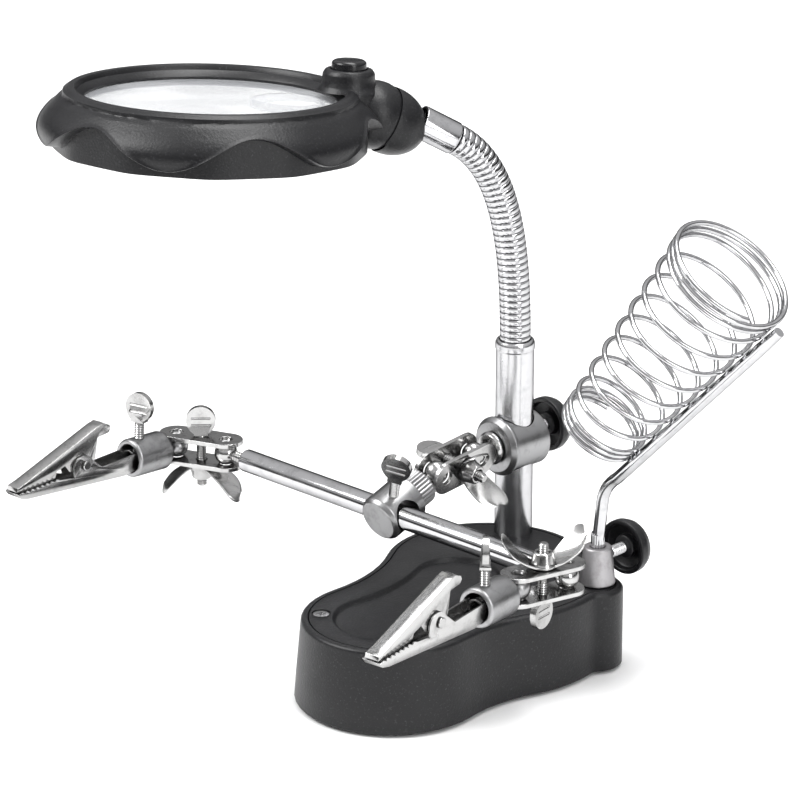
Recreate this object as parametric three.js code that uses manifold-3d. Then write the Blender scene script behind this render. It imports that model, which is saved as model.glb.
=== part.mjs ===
// Helping hands clamp: a weighted base that carries a lit magnifier on a gooseneck,
// a cross bar with two alligator clips on ball joints, and a soldering iron stand.
// Millimetres, +Z up. The origin is on the post's axis, at the underside of the base.
// The base's long axis is Y with its small lobe to the front (-Y); the iron stand is at +X.

import * as THREE from 'three';
import { mergeVertices } from 'three/addons/utils/BufferGeometryUtils.js';
import Module from 'manifold-3d';

const wasm = await Module();
wasm.setup();

// ---------------------------------------------------------------- driving dimensions

const GAP = 0.3;                 // air between pieces that touch
const FINENESS = 0.62;           // share of the full number of sides on round pieces

const BASE_HEIGHT = 31;
const FOOT_HEIGHT = 1.2;
const BASE_WALL = 3;
const BASE_DECK = 25;            // underside of the deck that carries the cover
const COVER_INSET = 2.6;
const COVER_DEPTH = 2.8;
const EDGE_ROUND = 1.6;
// Round lobes of the base outline, counter-clockwise: centre, radius at foot and top,
// and the radius of the hollow curve that leads on to the next lobe.
const LOBES = [
  { x: 8.2, y: -88.6, foot: 33.8, top: 31.4, hollow: 55 },
  { x: 2.4, y: -34, foot: 53.9, top: 53.6, hollow: 4 },
  { x: 50.7, y: -24.2, foot: 10.0, top: 10.0, hollow: 500 },
  { x: 7.9, y: -28.3, foot: 37.0, top: 36.8, hollow: 60 },
];

const POST_R = 6.9;
const POST_WALL = 1;
const POST_FOOT = 12;            // the post stands this high inside the base boss
const POST_TOP = 102.5;
const NECK_TUBE_R = 5.6;         // gooseneck outside radius
const NECK_AZIMUTH = 230.4;      // the plane in which the gooseneck leans over the bench
const GOOSE_LINKS = 3;

const CLAMP_Z = 66.1;
const CLAMP_AZIMUTH = 257.1;
const CLAMP_R = 10.3;
const CLAMP_FRONT = 7.4;
const CLAMP_BACK = -9;
const FLANGE_R = 10.9;
const FLANGE_THICK = 2.8;
const KNOB_R = 10;

const BALL_R = 4.3;
const BALL_SPACING = 20;
const CLAMP_TO_BALL = 20;
const PLATE_GAP = 7.6;
const PLATE_THICK = 1.6;
const PLATE_HALF_WIDTH = 6.2;
const SCREW_R = 1.85;
const SPADE_R = 5.4;

const BAR_R = 4.2;
const BAR_TO_BALL = 25.3;
const BAR_LEFT = 82.5;           // bar clamp to the left end ball
const BAR_RIGHT = 83.1;
const BAR_END = 10.6;            // end ball to the end of the tube

const HOLDER_R = 7.1;
const HOLDER_START = 6.8;
const HOLDER_MOUTH = 23.8;
const HOLDER_BORE = 5.2;
const HOLDER_DEPTH = 13;

const STAND_X = 50.8;
const STAND_Y = -23;
const STAND_SOCKET_TOP = 45;
const ROD_R = 2.2;
const ROD_LEAN = 46.9;           // slope of the rod's long straight part
const ROD_END = new THREE.Vector3(120.6, STAND_Y, 138.8);
const WIRE_R = 0.95;
const COIL_SMALL = new THREE.Vector3(50, STAND_Y, 88.3);
const COIL_LARGE = new THREE.Vector3(102.4, STAND_Y, 156.8);
const COIL_SMALL_R = 14.1;
const COIL_LARGE_R = 22.3;

const HEAD_REACH = 109.6;        // post axis to lens centre, measured level
const HEAD_Z = 205.4;            // height of the rim plane at the lens centre
const HEAD_NOD = 3.3;            // free end higher than the neck end
const HEAD_ROLL = 5;             // near side higher
const RIM_R = 49.2;
const LENS_R = 45;

// ---------------------------------------------------------------- materials

function finish(color, roughness, metalness) {
  return new THREE.MeshStandardMaterial({ color, roughness, metalness });
}

const blackPlastic = finish(0x2a292c, 0.5, 0);
const blackGloss = finish(0x161617, 0.3, 0);
const blackRubber = finish(0x1b1b1c, 0.85, 0);
const chrome = finish(0xdfe0e2, 0.12, 1);
const nickel = finish(0xc9c6c2, 0.28, 1);
const zinc = finish(0x9c9a9b, 0.5, 1);
const steel = finish(0xb8b8ba, 0.35, 1);
const brass = finish(0xb59a55, 0.35, 1);
const lensGlass = finish(0xf2f6f8, 0.05, 0);
const whiteBoard = finish(0xe9e9e4, 0.6, 0);
const batteryWrap = finish(0x6f7780, 0.45, 0.2);

// ---------------------------------------------------------------- solids

function solid(geometry) {
  const shape = geometry.clone();
  shape.deleteAttribute('normal');
  shape.deleteAttribute('uv');
  const merged = mergeVertices(shape, 1e-4);
  const mesh = new wasm.Mesh({
    numProp: 3,
    vertProperties: new Float32Array(merged.attributes.position.array),
    triVerts: new Uint32Array(merged.index.array),
  });
  return new wasm.Manifold(mesh);
}

function fromSolid(body) {
  const mesh = body.getMesh();
  const geometry = new THREE.BufferGeometry();
  geometry.setAttribute('position', new THREE.BufferAttribute(new Float32Array(mesh.vertProperties), 3));
  geometry.setIndex(new THREE.BufferAttribute(new Uint32Array(mesh.triVerts), 1));
  geometry.computeVertexNormals();
  return geometry;
}

function piece(name, shape, material) {
  const geometry = shape.isBufferGeometry ? shape : fromSolid(shape);
  const mesh = new THREE.Mesh(geometry, material.clone());
  mesh.name = name;
  return mesh;
}

function join(first, ...others) {
  return others.reduce((body, other) => body.add(other), first);
}

function cut(first, ...others) {
  return others.reduce((body, other) => body.subtract(other), first);
}

// The number of sides that a round piece gets, always even.
function fine(sides) {
  return Math.max(6, 2 * Math.round((sides * FINENESS) / 2));
}

// A turned solid about Z. The profile is [radius, height] pairs from axis to axis.
function turned(profile, sides = 24) {
  const points = profile.map(([r, z]) => new THREE.Vector2(r, z));
  const geometry = new THREE.LatheGeometry(points, fine(sides));
  geometry.rotateX(Math.PI / 2);
  return solid(geometry);
}

// A turned solid about X, for pieces whose axis is the local X axis.
function turnedX(profile, sides = 24) {
  const points = profile.map(([r, x]) => new THREE.Vector2(r, x));
  const geometry = new THREE.LatheGeometry(points, fine(sides));
  geometry.rotateZ(-Math.PI / 2);
  return solid(geometry);
}

function rod(radius, z0, z1, sides = 16, x = 0, y = 0) {
  const geometry = new THREE.CylinderGeometry(radius, radius, z1 - z0, fine(sides));
  geometry.rotateX(Math.PI / 2);
  geometry.translate(x, y, (z0 + z1) / 2);
  return solid(geometry);
}

function rodX(radius, x0, x1, sides = 16, y = 0, z = 0) {
  const geometry = new THREE.CylinderGeometry(radius, radius, x1 - x0, fine(sides));
  geometry.rotateZ(-Math.PI / 2);
  geometry.translate((x0 + x1) / 2, y, z);
  return solid(geometry);
}

function rodY(radius, y0, y1, sides = 16, x = 0, z = 0) {
  const geometry = new THREE.CylinderGeometry(radius, radius, y1 - y0, fine(sides));
  geometry.translate(x, (y0 + y1) / 2, z);
  return solid(geometry);
}

function block(x0, x1, y0, y1, z0, z1) {
  const geometry = new THREE.BoxGeometry(x1 - x0, y1 - y0, z1 - z0);
  geometry.translate((x0 + x1) / 2, (y0 + y1) / 2, (z0 + z1) / 2);
  return solid(geometry);
}

function slab(shape, z0, z1, curveSegments = 8) {
  const geometry = new THREE.ExtrudeGeometry(shape, { depth: z1 - z0, bevelEnabled: false, curveSegments });
  geometry.translate(0, 0, z0);
  return geometry;
}

function sphere(radius, x = 0, y = 0, z = 0, sides = 14) {
  const geometry = new THREE.SphereGeometry(radius, fine(sides), Math.round(fine(sides) * 0.6));
  geometry.translate(x, y, z);
  return solid(geometry);
}

function turn(body, x, y, z) {
  const matrix = new THREE.Matrix4().makeRotationFromEuler(new THREE.Euler(x, y, z, 'ZYX'));
  return body.transform(matrix.toArray());
}

function move(body, x, y, z) {
  return body.transform(new THREE.Matrix4().makeTranslation(x, y, z).toArray());
}

// A closed loft through rings that all have the same number of points.
function loft(rings) {
  const count = rings[0].length;
  const positions = [];
  const faces = [];
  for (const ring of rings) {
    for (const point of ring) positions.push(point.x, point.y, point.z);
  }
  for (let k = 0; k < rings.length - 1; k += 1) {
    for (let i = 0; i < count; i += 1) {
      const a = k * count + i;
      const b = k * count + (i + 1) % count;
      faces.push(a, b, b + count, a, b + count, a + count);
    }
  }
  const last = (rings.length - 1) * count;
  const flat = (ring) => ring.map((p) => new THREE.Vector2(p.x, p.y));
  for (const [a, b, c] of THREE.ShapeUtils.triangulateShape(flat(rings[0]), [])) faces.push(a, c, b);
  for (const [a, b, c] of THREE.ShapeUtils.triangulateShape(flat(rings.at(-1)), [])) {
    faces.push(last + a, last + b, last + c);
  }
  const geometry = new THREE.BufferGeometry();
  geometry.setAttribute('position', new THREE.Float32BufferAttribute(positions, 3));
  geometry.setIndex(faces);
  return solid(geometry);
}

const radians = THREE.MathUtils.degToRad;

// A unit vector from an azimuth (from +X towards +Y) and an elevation, in degrees.
function heading(azimuth, elevation = 0) {
  const a = radians(azimuth);
  const e = radians(elevation);
  return new THREE.Vector3(Math.cos(a) * Math.cos(e), Math.sin(a) * Math.cos(e), Math.sin(e));
}

// A group whose local X axis points along a heading and whose local Z axis stays as upright
// as it can, then rolled about X.
function framed(origin, azimuth, elevation = 0, roll = 0) {
  const group = new THREE.Group();
  const x = heading(azimuth, elevation);
  const y = new THREE.Vector3(0, 0, 1).cross(x).normalize();
  const z = x.clone().cross(y);
  group.setRotationFromMatrix(new THREE.Matrix4().makeBasis(x, y, z));
  group.rotateX(radians(roll));
  group.position.copy(origin);
  return group;
}

// ---------------------------------------------------------------- base

// Centre of the hollow curve that touches two lobes from outside.
function hollowCentre(a, b, ra, rb, hollow) {
  const dx = b.x - a.x;
  const dy = b.y - a.y;
  const span = Math.hypot(dx, dy);
  const da = ra + hollow;
  const db = rb + hollow;
  const along = (span * span + da * da - db * db) / (2 * span);
  const off = Math.sqrt(da * da - along * along);
  return { x: a.x + (dx * along + dy * off) / span, y: a.y + (dy * along - dx * off) / span };
}

function arcPoints(centre, radius, from, to, steps, z) {
  const points = [];
  for (let i = 0; i < steps; i += 1) {
    const t = from + ((to - from) * i) / steps;
    points.push(new THREE.Vector3(centre.x + radius * Math.cos(t), centre.y + radius * Math.sin(t), z));
  }
  return points;
}

// The base outline at a height: share 0 is the foot and 1 is the top edge.
function baseOutline(inset, share, z) {
  const radii = LOBES.map((lobe) => lobe.foot + (lobe.top - lobe.foot) * share - inset);
  const hollows = LOBES.map((lobe, i) => {
    const next = (i + 1) % LOBES.length;
    const centre = hollowCentre(lobe, LOBES[next], radii[i], radii[next], lobe.hollow + inset);
    return { ...centre, r: lobe.hollow + inset };
  });
  const angle = (from, to) => Math.atan2(to.y - from.y, to.x - from.x);
  const steps = [12, 4, 5, 9];
  const points = [];
  LOBES.forEach((lobe, i) => {
    const before = hollows[(i + LOBES.length - 1) % LOBES.length];
    const after = hollows[i];
    const from = angle(lobe, before);
    let to = angle(lobe, after);
    if (to < from) to += 2 * Math.PI;
    points.push(...arcPoints(lobe, radii[i], from, to, steps[i], z));
    const next = LOBES[(i + 1) % LOBES.length];
    const enter = angle(after, lobe);
    let leave = angle(after, next);
    if (leave > enter) leave -= 2 * Math.PI;
    points.push(...arcPoints(after, after.r, enter, leave, 4, z));
  });
  return points;
}

const FOOT_R = 5;
const FOOT_PLACES = [[0, 0], [-20, -34], [46, -26], [8, -110]];
const COVER_SCREW = { x: -13.1, y: -100.4 };
const POST_BOSS_R = 11;
const STAND_PEG_R = 2.9;

function baseShell() {
  const rings = [
    baseOutline(0.4, 0, FOOT_HEIGHT),
    baseOutline(0, 0.03, FOOT_HEIGHT + 0.6),
    baseOutline(0, 0.95, BASE_HEIGHT - EDGE_ROUND),
    baseOutline(0.45, 0.98, BASE_HEIGHT - 0.45),
    baseOutline(EDGE_ROUND, 1, BASE_HEIGHT),
  ];
  const outer = loft(rings);
  const coverSeat = loft([
    baseOutline(COVER_INSET, 1, BASE_HEIGHT - COVER_DEPTH),
    baseOutline(COVER_INSET, 1, BASE_HEIGHT + 1),
  ]);
  const cavity = loft([baseOutline(BASE_WALL, 0, 0), baseOutline(BASE_WALL, 0.8, BASE_DECK)]);
  const plateSeat = loft([baseOutline(1.8, 0, 0), baseOutline(1.8, 0, FOOT_HEIGHT + 2)]);
  const boss = rod(POST_BOSS_R, FOOT_HEIGHT + 4, BASE_DECK + 1, 24);
  const trimmedBoss = boss.intersect(outer);
  const hollow = cut(cavity, trimmedBoss);
  const postHole = rod(POST_R + GAP, POST_FOOT - GAP, BASE_HEIGHT + 1, 24);
  const wireHole = rod(3, 0, POST_FOOT + 1, 12);
  const standHole = rod(STAND_PEG_R + GAP, BASE_DECK - 1, BASE_HEIGHT + 1, 12, STAND_X, STAND_Y);
  const screwHole = rod(1.5, BASE_DECK - 1, BASE_HEIGHT, 12, COVER_SCREW.x, COVER_SCREW.y);
  return cut(outer, coverSeat, hollow, plateSeat, postHole, wireHole, standHole, screwHole);
}

function baseCover() {
  const inset = COVER_INSET + GAP;
  const low = BASE_HEIGHT - COVER_DEPTH + GAP;
  const plate = loft([
    baseOutline(inset, 1, low),
    baseOutline(inset, 1, BASE_HEIGHT - 0.5),
    baseOutline(inset + 0.6, 1, BASE_HEIGHT),
  ]);
  const tray = loft([
    trayRing(1.2, BASE_HEIGHT - 1.6),
    trayRing(0, BASE_HEIGHT + 0.2),
  ]);
  const postHole = rod(POST_R + GAP, 0, 40, 24);
  const standHole = rod(STAND_PEG_R + GAP, 0, 40, 12, STAND_X, STAND_Y);
  const pocket = move(screwPocket(), COVER_SCREW.x, COVER_SCREW.y, BASE_HEIGHT);
  return cut(plate, tray, postHole, standHole, pocket);
}

// Tray outline: a front round and a rear round joined by hollow sides.
const TRAY = [
  { x: 8.2, y: -90, r: 19.5, hollow: 34 },
  { x: 6, y: -45, r: 15.5, hollow: 60 },
];

function trayRing(inset, z) {
  const points = [];
  const angle = (from, to) => Math.atan2(to.y - from.y, to.x - from.x);
  const links = TRAY.map((lobe, i) => {
    const next = TRAY[1 - i];
    const c = hollowCentre(lobe, next, lobe.r - inset, next.r - inset, lobe.hollow + inset);
    return { ...c, r: lobe.hollow + inset };
  });
  TRAY.forEach((lobe, i) => {
    const from = angle(lobe, links[1 - i]);
    let to = angle(lobe, links[i]);
    if (to < from) to += 2 * Math.PI;
    points.push(...arcPoints(lobe, lobe.r - inset, from, to, 10, z));
    const enter = angle(links[i], lobe);
    let leave = angle(links[i], TRAY[1 - i]);
    if (leave > enter) leave -= 2 * Math.PI;
    points.push(...arcPoints(links[i], links[i].r, enter, leave, 5, z));
  });
  return points;
}

const SCREW_HEAD_R = 2.9;

function screwPocket() {
  return turned([[0, -6], [1.5 + GAP, -6], [1.5 + GAP, -2.2], [SCREW_HEAD_R + GAP, -0.35], [SCREW_HEAD_R + GAP, 1], [0, 1]], 12);
}

function coverScrew() {
  const body = turned([[0, -5.6], [1.0, -5.6], [1.1, -2.0], [SCREW_HEAD_R, -0.35], [SCREW_HEAD_R, -0.1], [0, -0.1]], 12);
  const slot = block(-2, 2, -0.35, 0.35, -1.0, 1);
  return cut(body, slot, turn(slot, 0, 0, Math.PI / 2));
}

function bottomPlate() {
  const plate = loft([
    baseOutline(1.8 + GAP, 0, FOOT_HEIGHT),
    baseOutline(1.8 + GAP, 0, FOOT_HEIGHT + 1.7),
  ]);
  const feet = FOOT_PLACES.map(([x, y]) => rod(FOOT_R + GAP, 0, FOOT_HEIGHT + 0.8, 16, x, y));
  const door = block(-9, 25, -84, -30, 0, 10);
  return cut(plate, door, ...feet);
}

function baseGroup() {
  const group = new THREE.Group();
  group.add(piece('base_shell', baseShell(), blackPlastic));
  group.add(piece('base_cover', baseCover(), blackPlastic));
  group.add(piece('bottom_plate', bottomPlate(), blackPlastic));
  group.add(piece('battery_door', block(-8.7, 24.7, -83.7, -30.3, FOOT_HEIGHT, FOOT_HEIGHT + 1.7), blackPlastic));
  FOOT_PLACES.forEach(([x, y], i) => {
    group.add(piece(`rubber_foot_${i + 1}`, rod(FOOT_R, 0, FOOT_HEIGHT + 0.5, 16, x, y), blackRubber));
  });
  const screw = piece('cover_screw', coverScrew(), steel);
  screw.position.set(COVER_SCREW.x, COVER_SCREW.y, BASE_HEIGHT);
  screw.rotation.z = 0.5;
  group.add(screw);
  const ballast = loft([trayRing(-4, 19), trayRing(-4, BASE_DECK - GAP)]);
  group.add(piece('ballast_plate', cut(ballast, rod(POST_BOSS_R + GAP, 0, 40, 24)), steel));
  for (let i = 0; i < 2; i += 1) {
    const cell = turned([[0, 0], [7, 0], [7, 49], [2.6, 49], [2.6, 50.2], [0, 50.2]], 14);
    const battery = piece(`battery_${i + 1}`, cell, batteryWrap);
    battery.rotation.x = i ? Math.PI / 2 : -Math.PI / 2;
    battery.position.set(0.5 + i * 15, i ? -32 : -82.2, FOOT_HEIGHT + 9.4);
    group.add(battery);
  }
  return group;
}

// ---------------------------------------------------------------- post and gooseneck

// The post, with the swaged collar at its top that grips the gooseneck.
function postTube() {
  const tube = rod(POST_R, POST_FOOT, POST_TOP, 28);
  const collar = turned([
    [0, POST_TOP - 0.8], [POST_R + 0.3, POST_TOP - 0.8], [POST_R + 0.3, POST_TOP + 1.6],
    [NECK_TUBE_R + 0.7, POST_TOP + 2.8], [0, POST_TOP + 2.8],
  ], 28);
  const throat = rod(NECK_TUBE_R + GAP, POST_TOP + 1.6, POST_TOP + 4, 28);
  return cut(join(tube, collar), throat, rod(POST_R - POST_WALL, POST_FOOT - 1, POST_TOP + 1, 20), rod(4.6, POST_TOP, POST_TOP + 3));
}

// The gooseneck's centre line in its own upright plane: X is the reach towards the lens.
const gooseCurve = new THREE.CubicBezierCurve3(
  new THREE.Vector3(0, 0, POST_TOP + 2),
  new THREE.Vector3(0, 0, 150),
  new THREE.Vector3(7, 0, 172.2),
  new THREE.Vector3(22.6, 0, 181.2),
);
const LINK_DOME_R = 4.9;
const LINK_GROOVE = 0.75;        // half the groove between two lengths

// One length of the gooseneck: hollow at its lower end and round at its upper end, so that
// neighbours bend about the middle of the round.
function gooseLink(index) {
  const first = index === 0;
  const last = index === GOOSE_LINKS - 1;
  const length = gooseCurve.getLength();
  const from = index / GOOSE_LINKS;
  const to = (index + 1) / GOOSE_LINKS;
  const start = from + (first ? 0 : LINK_GROOVE / length);
  const end = to - (last ? 0 : LINK_GROOVE / length);
  const points = [];
  for (let i = 0; i <= 6; i += 1) points.push(gooseCurve.getPointAt(start + ((end - start) * i) / 6));
  const path = new THREE.CatmullRomCurve3(points);
  const circle = new THREE.Shape().absarc(0, 0, NECK_TUBE_R, 0, 2 * Math.PI);
  const steps = 5;
  let body = solid(new THREE.ExtrudeGeometry(circle, { extrudePath: path, steps, curveSegments: 9 }));
  const a = gooseCurve.getPointAt(from);
  const b = gooseCurve.getPointAt(to);
  if (!first) body = cut(body, sphere(LINK_DOME_R + GAP, a.x, a.y, a.z, 14));
  if (!last) body = join(body, sphere(LINK_DOME_R, b.x, b.y, b.z, 14));
  return body;
}

const FERRULE_LENGTH = 15;
const FERRULE_R = 5.9;
const NECK_AT = { x: 45, z: 192.5 };
const NECK_SLOPE = Math.atan2(181.2 - 172.2, 22.6 - 7) * THREE.MathUtils.RAD2DEG;

function gooseGroup() {
  const group = framed(new THREE.Vector3(), NECK_AZIMUTH);
  for (let i = 0; i < GOOSE_LINKS; i += 1) group.add(piece(`gooseneck_${i + 1}`, gooseLink(i), chrome));
  const tip = framed(new THREE.Vector3(22.6, 0, 181.2), 0, NECK_SLOPE);
  const tube = cut(rodX(FERRULE_R, 0.6, FERRULE_LENGTH, 24), rodX(FERRULE_R - 1, -1, FERRULE_LENGTH + 1, 16));
  tip.add(piece('neck_ferrule', tube, chrome));
  group.add(tip);
  return group;
}

// ---------------------------------------------------------------- magnifier head

const RIM_IN_R = 46.4;
const LENS_SEAT_R = 43.6;
const LENS_DROP = 3.8;           // the lens edge sits this far below the rim
const SKIRT_DEPTH = 20;
const FACETS = 6;
const FACET_TURN = -27.3;        // angle of one flat facet from the neck
const FACET_FLAT = 52.6;         // lens axis to a flat facet

// Radius of the bulging skirt at a depth below the rim.
function domeRadius(depth) {
  const t = Math.min(depth / 13, 1);
  const lower = Math.max(depth - 13, 0) / (SKIRT_DEPTH - 13);
  return RIM_R + 1.2 + 8.6 * Math.sin((t * Math.PI) / 2) ** 1.4 - 3.6 * lower * lower;
}

// The skirt's outside radius: proud lobes above a wave line, flat facets below it.
function skirtRadius(angle, depth) {
  const dome = domeRadius(depth);
  const pitch = (2 * Math.PI) / (2 * FACETS);
  const turned = angle - radians(FACET_TURN);
  const local = turned - Math.round(turned / pitch) * pitch;
  const facet = (FACET_FLAT + 0.6) / Math.cos(local);
  const wave = 12 - 5.6 * Math.cos(FACETS * turned);
  const below = THREE.MathUtils.smoothstep(depth, wave - 0.6, wave + 0.9);
  return dome + (Math.min(facet, dome) - dome) * below;
}

const HEAD_SIDES = 60;

function headShell() {
  const outerDepths = [0.5, 2, 5, 8, 11, 13, 16, 18, SKIRT_DEPTH];
  const section = [
    ...outerDepths.map((depth) => (angle) => [depth < 1 ? RIM_R : skirtRadius(angle, depth), -depth]),
    (angle) => [skirtRadius(angle, SKIRT_DEPTH) - 2, -SKIRT_DEPTH],
    () => [47.2, -8.2],
    () => [45.3, -8.2],
    () => [45.3, -LENS_DROP - GAP / 2],
    () => [LENS_SEAT_R, -LENS_DROP - GAP / 2],
    () => [LENS_SEAT_R, -LENS_DROP + 0.6],
    () => [RIM_IN_R, -0.4],
    () => [RIM_IN_R + 0.6, 0],
    () => [RIM_R - 0.5, 0],
  ];
  const positions = [];
  const faces = [];
  for (let i = 0; i < HEAD_SIDES; i += 1) {
    const angle = (2 * Math.PI * i) / HEAD_SIDES;
    for (const place of section) {
      const [r, z] = place(angle);
      positions.push(r * Math.cos(angle), r * Math.sin(angle), z);
    }
  }
  const count = section.length;
  for (let i = 0; i < HEAD_SIDES; i += 1) {
    const next = (i + 1) % HEAD_SIDES;
    for (let j = 0; j < count; j += 1) {
      const k = (j + 1) % count;
      const a = i * count + j;
      const b = next * count + j;
      const c = next * count + k;
      const d = i * count + k;
      faces.push(a, d, c, a, c, b);
    }
  }
  const geometry = new THREE.BufferGeometry();
  geometry.setAttribute('position', new THREE.Float32BufferAttribute(positions, 3));
  geometry.setIndex(faces);
  return solid(geometry);
}

const ARM_X = 58;                // middle of the neck arm's round end
const ARM_R = 12;
const SWITCH_X = 51.9;
const SWITCH_R = 8.85;
const BUTTON_R = 6.15;

function egg(x, z, rx, ry, rz, tilt = 0, grow = 0) {
  const geometry = new THREE.SphereGeometry(1, 22, 12);
  geometry.scale(rx + grow, ry + grow, rz + grow);
  geometry.rotateY(tilt);
  geometry.translate(x, 0, z);
  return solid(geometry);
}

const armEgg = (grow = 0) => egg(ARM_X, -9.5, ARM_R, ARM_R, ARM_R, 0, grow);

function headHousing() {
  const lensSpace = rod(47.4, -30, 5, 80);
  const arm = cut(armEgg(), rod(47.6, -40, 6, 80), block(30, 80, -20, 20, -40, -15));
  const boss = turned([
    [0, -8], [SWITCH_R + 0.8, -8], [SWITCH_R, -1], [SWITCH_R, 3.4], [SWITCH_R - 1.6, 5.2],
    [BUTTON_R, 5.4], [0, 5.4],
  ], 24);
  const placedBoss = cut(move(boss, SWITCH_X, 0, 0), lensSpace);
  const buttonHole = rod(BUTTON_R + GAP, 1.5, 8, 24, SWITCH_X, 0);
  return cut(join(headShell(), arm, placedBoss), buttonHole);
}

function switchButton() {
  return turned([[0, 3.2], [BUTTON_R, 3.2], [BUTTON_R, 7.4], [BUTTON_R - 0.9, 8.3], [0, 8.5]], 24);
}

// A thin convex lens whose edge is a short cylinder.
function lensProfile(radius, edge, bulge, steps = 6) {
  const points = [[0, -edge / 2 - bulge]];
  for (let i = 1; i <= steps; i += 1) points.push([(radius * i) / steps, -edge / 2 - bulge * (1 - (i / steps) ** 2)]);
  for (let i = steps; i >= 0; i -= 1) points.push([(radius * i) / steps, edge / 2 + bulge * (1 - (i / steps) ** 2)]);
  return points;
}

const SMALL_LENS_X = 27;
const SMALL_LENS_R = 12.4;

function mainLens() {
  const body = turned(lensProfile(LENS_R, 1.6, 1.5, 4), 48);
  return cut(body, rod(SMALL_LENS_R + 1.6 * GAP, -8, 8, 24, SMALL_LENS_X, 0));
}

// The ring under the lens that holds it in and carries the lamps.
function ledRing() {
  const low = -SKIRT_DEPTH + 6;
  const ring = turned([
    [43.4, low], [46.6, low], [46.6, -9.4], [44.8, -8.6], [44.8, -6.4], [43.4, -6.4], [43.4, low],
  ], 56);
  const lamps = [-24, -8, 8, 24].map((angle) => {
    const lamp = turned([[0, low - 1.6], [1.4, low - 1.3], [1.8, low - 0.4], [1.8, low + 0.5], [0, low + 0.5]], 6);
    return move(lamp, 45 * Math.cos(radians(angle)), 45 * Math.sin(radians(angle)), 0);
  });
  return join(ring, ...lamps);
}

function headGroup() {
  const origin = heading(NECK_AZIMUTH).multiplyScalar(HEAD_REACH).setZ(HEAD_Z);
  const group = framed(origin, NECK_AZIMUTH - 180, -HEAD_NOD, -HEAD_ROLL);
  group.name = 'head_frame';
  group.add(piece('head_housing', headHousing(), blackPlastic));
  const button = piece('switch_button', switchButton(), blackGloss);
  button.position.x = SWITCH_X;
  group.add(button);
  const lens = piece('main_lens', mainLens(), lensGlass);
  lens.position.z = -LENS_DROP - 1.2;
  group.add(lens);
  const insert = piece('small_lens', turned(lensProfile(SMALL_LENS_R, 2.6, 1.6, 3), 20), lensGlass);
  insert.position.set(SMALL_LENS_X, 0, -LENS_DROP - 1.2);
  group.add(insert);
  group.add(piece('led_ring', ledRing(), whiteBoard));
  return group;
}

// The space that the head needs beside the neck shell, in the head's own frame.
function headSpace() {
  const profile = [[0, 6], [RIM_R + 1.4, 6]];
  for (const depth of [1, 4, 7, 10, 13, 17, SKIRT_DEPTH]) profile.push([domeRadius(depth) + 1, -depth]);
  profile.push([50, -SKIRT_DEPTH - 3], [0, -SKIRT_DEPTH - 3]);
  const switchSpace = rod(SWITCH_R + 1.4, -9, 12, 24, SWITCH_X, 0);
  return join(turned(profile.reverse(), 60), armEgg(2 * GAP), switchSpace);
}

// The neck shell grips the ferrule and carries the head's arm on its upper side.
function neckShell(headFrame, neckFrame) {
  const body = egg(NECK_AT.x, NECK_AT.z, 16, 11.6, 12.6, radians(-NECK_SLOPE));
  const inverse = neckFrame.matrix.clone().invert().multiply(headFrame.matrix);
  const space = headSpace().transform(inverse.toArray());
  const tip = new THREE.Matrix4().makeRotationY(radians(-NECK_SLOPE)).setPosition(22.6, 0, 181.2);
  const socket = rodX(FERRULE_R + GAP, 0, FERRULE_LENGTH + 1, 24).transform(tip.toArray());
  return cut(body, space, socket);
}

// ---------------------------------------------------------------- screws and knobs

// A thumb screw with a flat round head, upright on Z: shank from tip to collar.
function spadeScrew(tip, seat, headAt) {
  const shank = rod(SCREW_R, tip, seat + 1.5, 12);
  const outline = new THREE.Shape();
  const neck = 2.3;
  const start = Math.asin(neck / SPADE_R);
  outline.absarc(0, headAt, SPADE_R, -Math.PI / 2 + start, (3 * Math.PI) / 2 - start, false);
  outline.lineTo(-neck - 0.3, seat);
  outline.lineTo(neck + 0.3, seat);
  const geometry = slab(outline, -1.2, 1.2, 9);
  geometry.rotateX(Math.PI / 2);
  geometry.rotateZ(Math.PI / 2);
  return join(shank, solid(geometry));
}

// A pressed wing nut with its bearing face at z = 0 and its wings rising outwards.
function wingNut() {
  const hub = turned([[0, 0], [4.6, 0], [4.4, 1.2], [3.6, 5.4], [0, 5.4]], 18);
  const outline = new THREE.Shape();
  outline.moveTo(2.2, -3.2);
  outline.lineTo(10.2, -4.9);
  outline.absarc(10.4, 0, 5, -Math.PI / 2, Math.PI / 2, false);
  outline.lineTo(2.2, 3.2);
  const wing = turn(solid(slab(outline, -0.8, 0.6, 5)), 0, radians(-38), 0);
  const placed = move(wing, 0.6, 0, 1.2);
  const other = turn(placed, 0, 0, Math.PI);
  const bore = rod(SCREW_R + GAP, -1, 8, 14);
  return cut(join(hub, placed, other), bore, block(-20, 20, -20, 20, -5, 0));
}

// A round dished knob on a screw: the knob's open side faces the piece that it clamps.
function dishKnob(tip, rim) {
  return turnedX([
    [0, tip], [2.1, tip], [2.1, rim], [4.2, rim + 0.4], [4.4, rim + 3], [KNOB_R - 2, rim + 1.4],
    [KNOB_R - 1.6, rim - 0.6], [KNOB_R, rim - 0.6], [KNOB_R, rim + 2.2], [KNOB_R - 1, rim + 4.6],
    [KNOB_R - 4, rim + 6], [0, rim + 6.6],
  ], 28);
}

// ---------------------------------------------------------------- ball joints

function jointPlate() {
  const outline = new THREE.Shape();
  outline.absarc(0, 0, PLATE_HALF_WIDTH, Math.PI / 2, (3 * Math.PI) / 2, false);
  outline.absarc(BALL_SPACING, 0, PLATE_HALF_WIDTH, -Math.PI / 2, Math.PI / 2, false);
  for (const [x, r] of [[0, 2.6], [BALL_SPACING / 2, SCREW_R + GAP], [BALL_SPACING, 2.6]]) {
    outline.holes.push(new THREE.Path().absarc(x, 0, r, 0, 2 * Math.PI, true));
  }
  return solid(slab(outline, 0, PLATE_THICK, 6));
}

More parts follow.
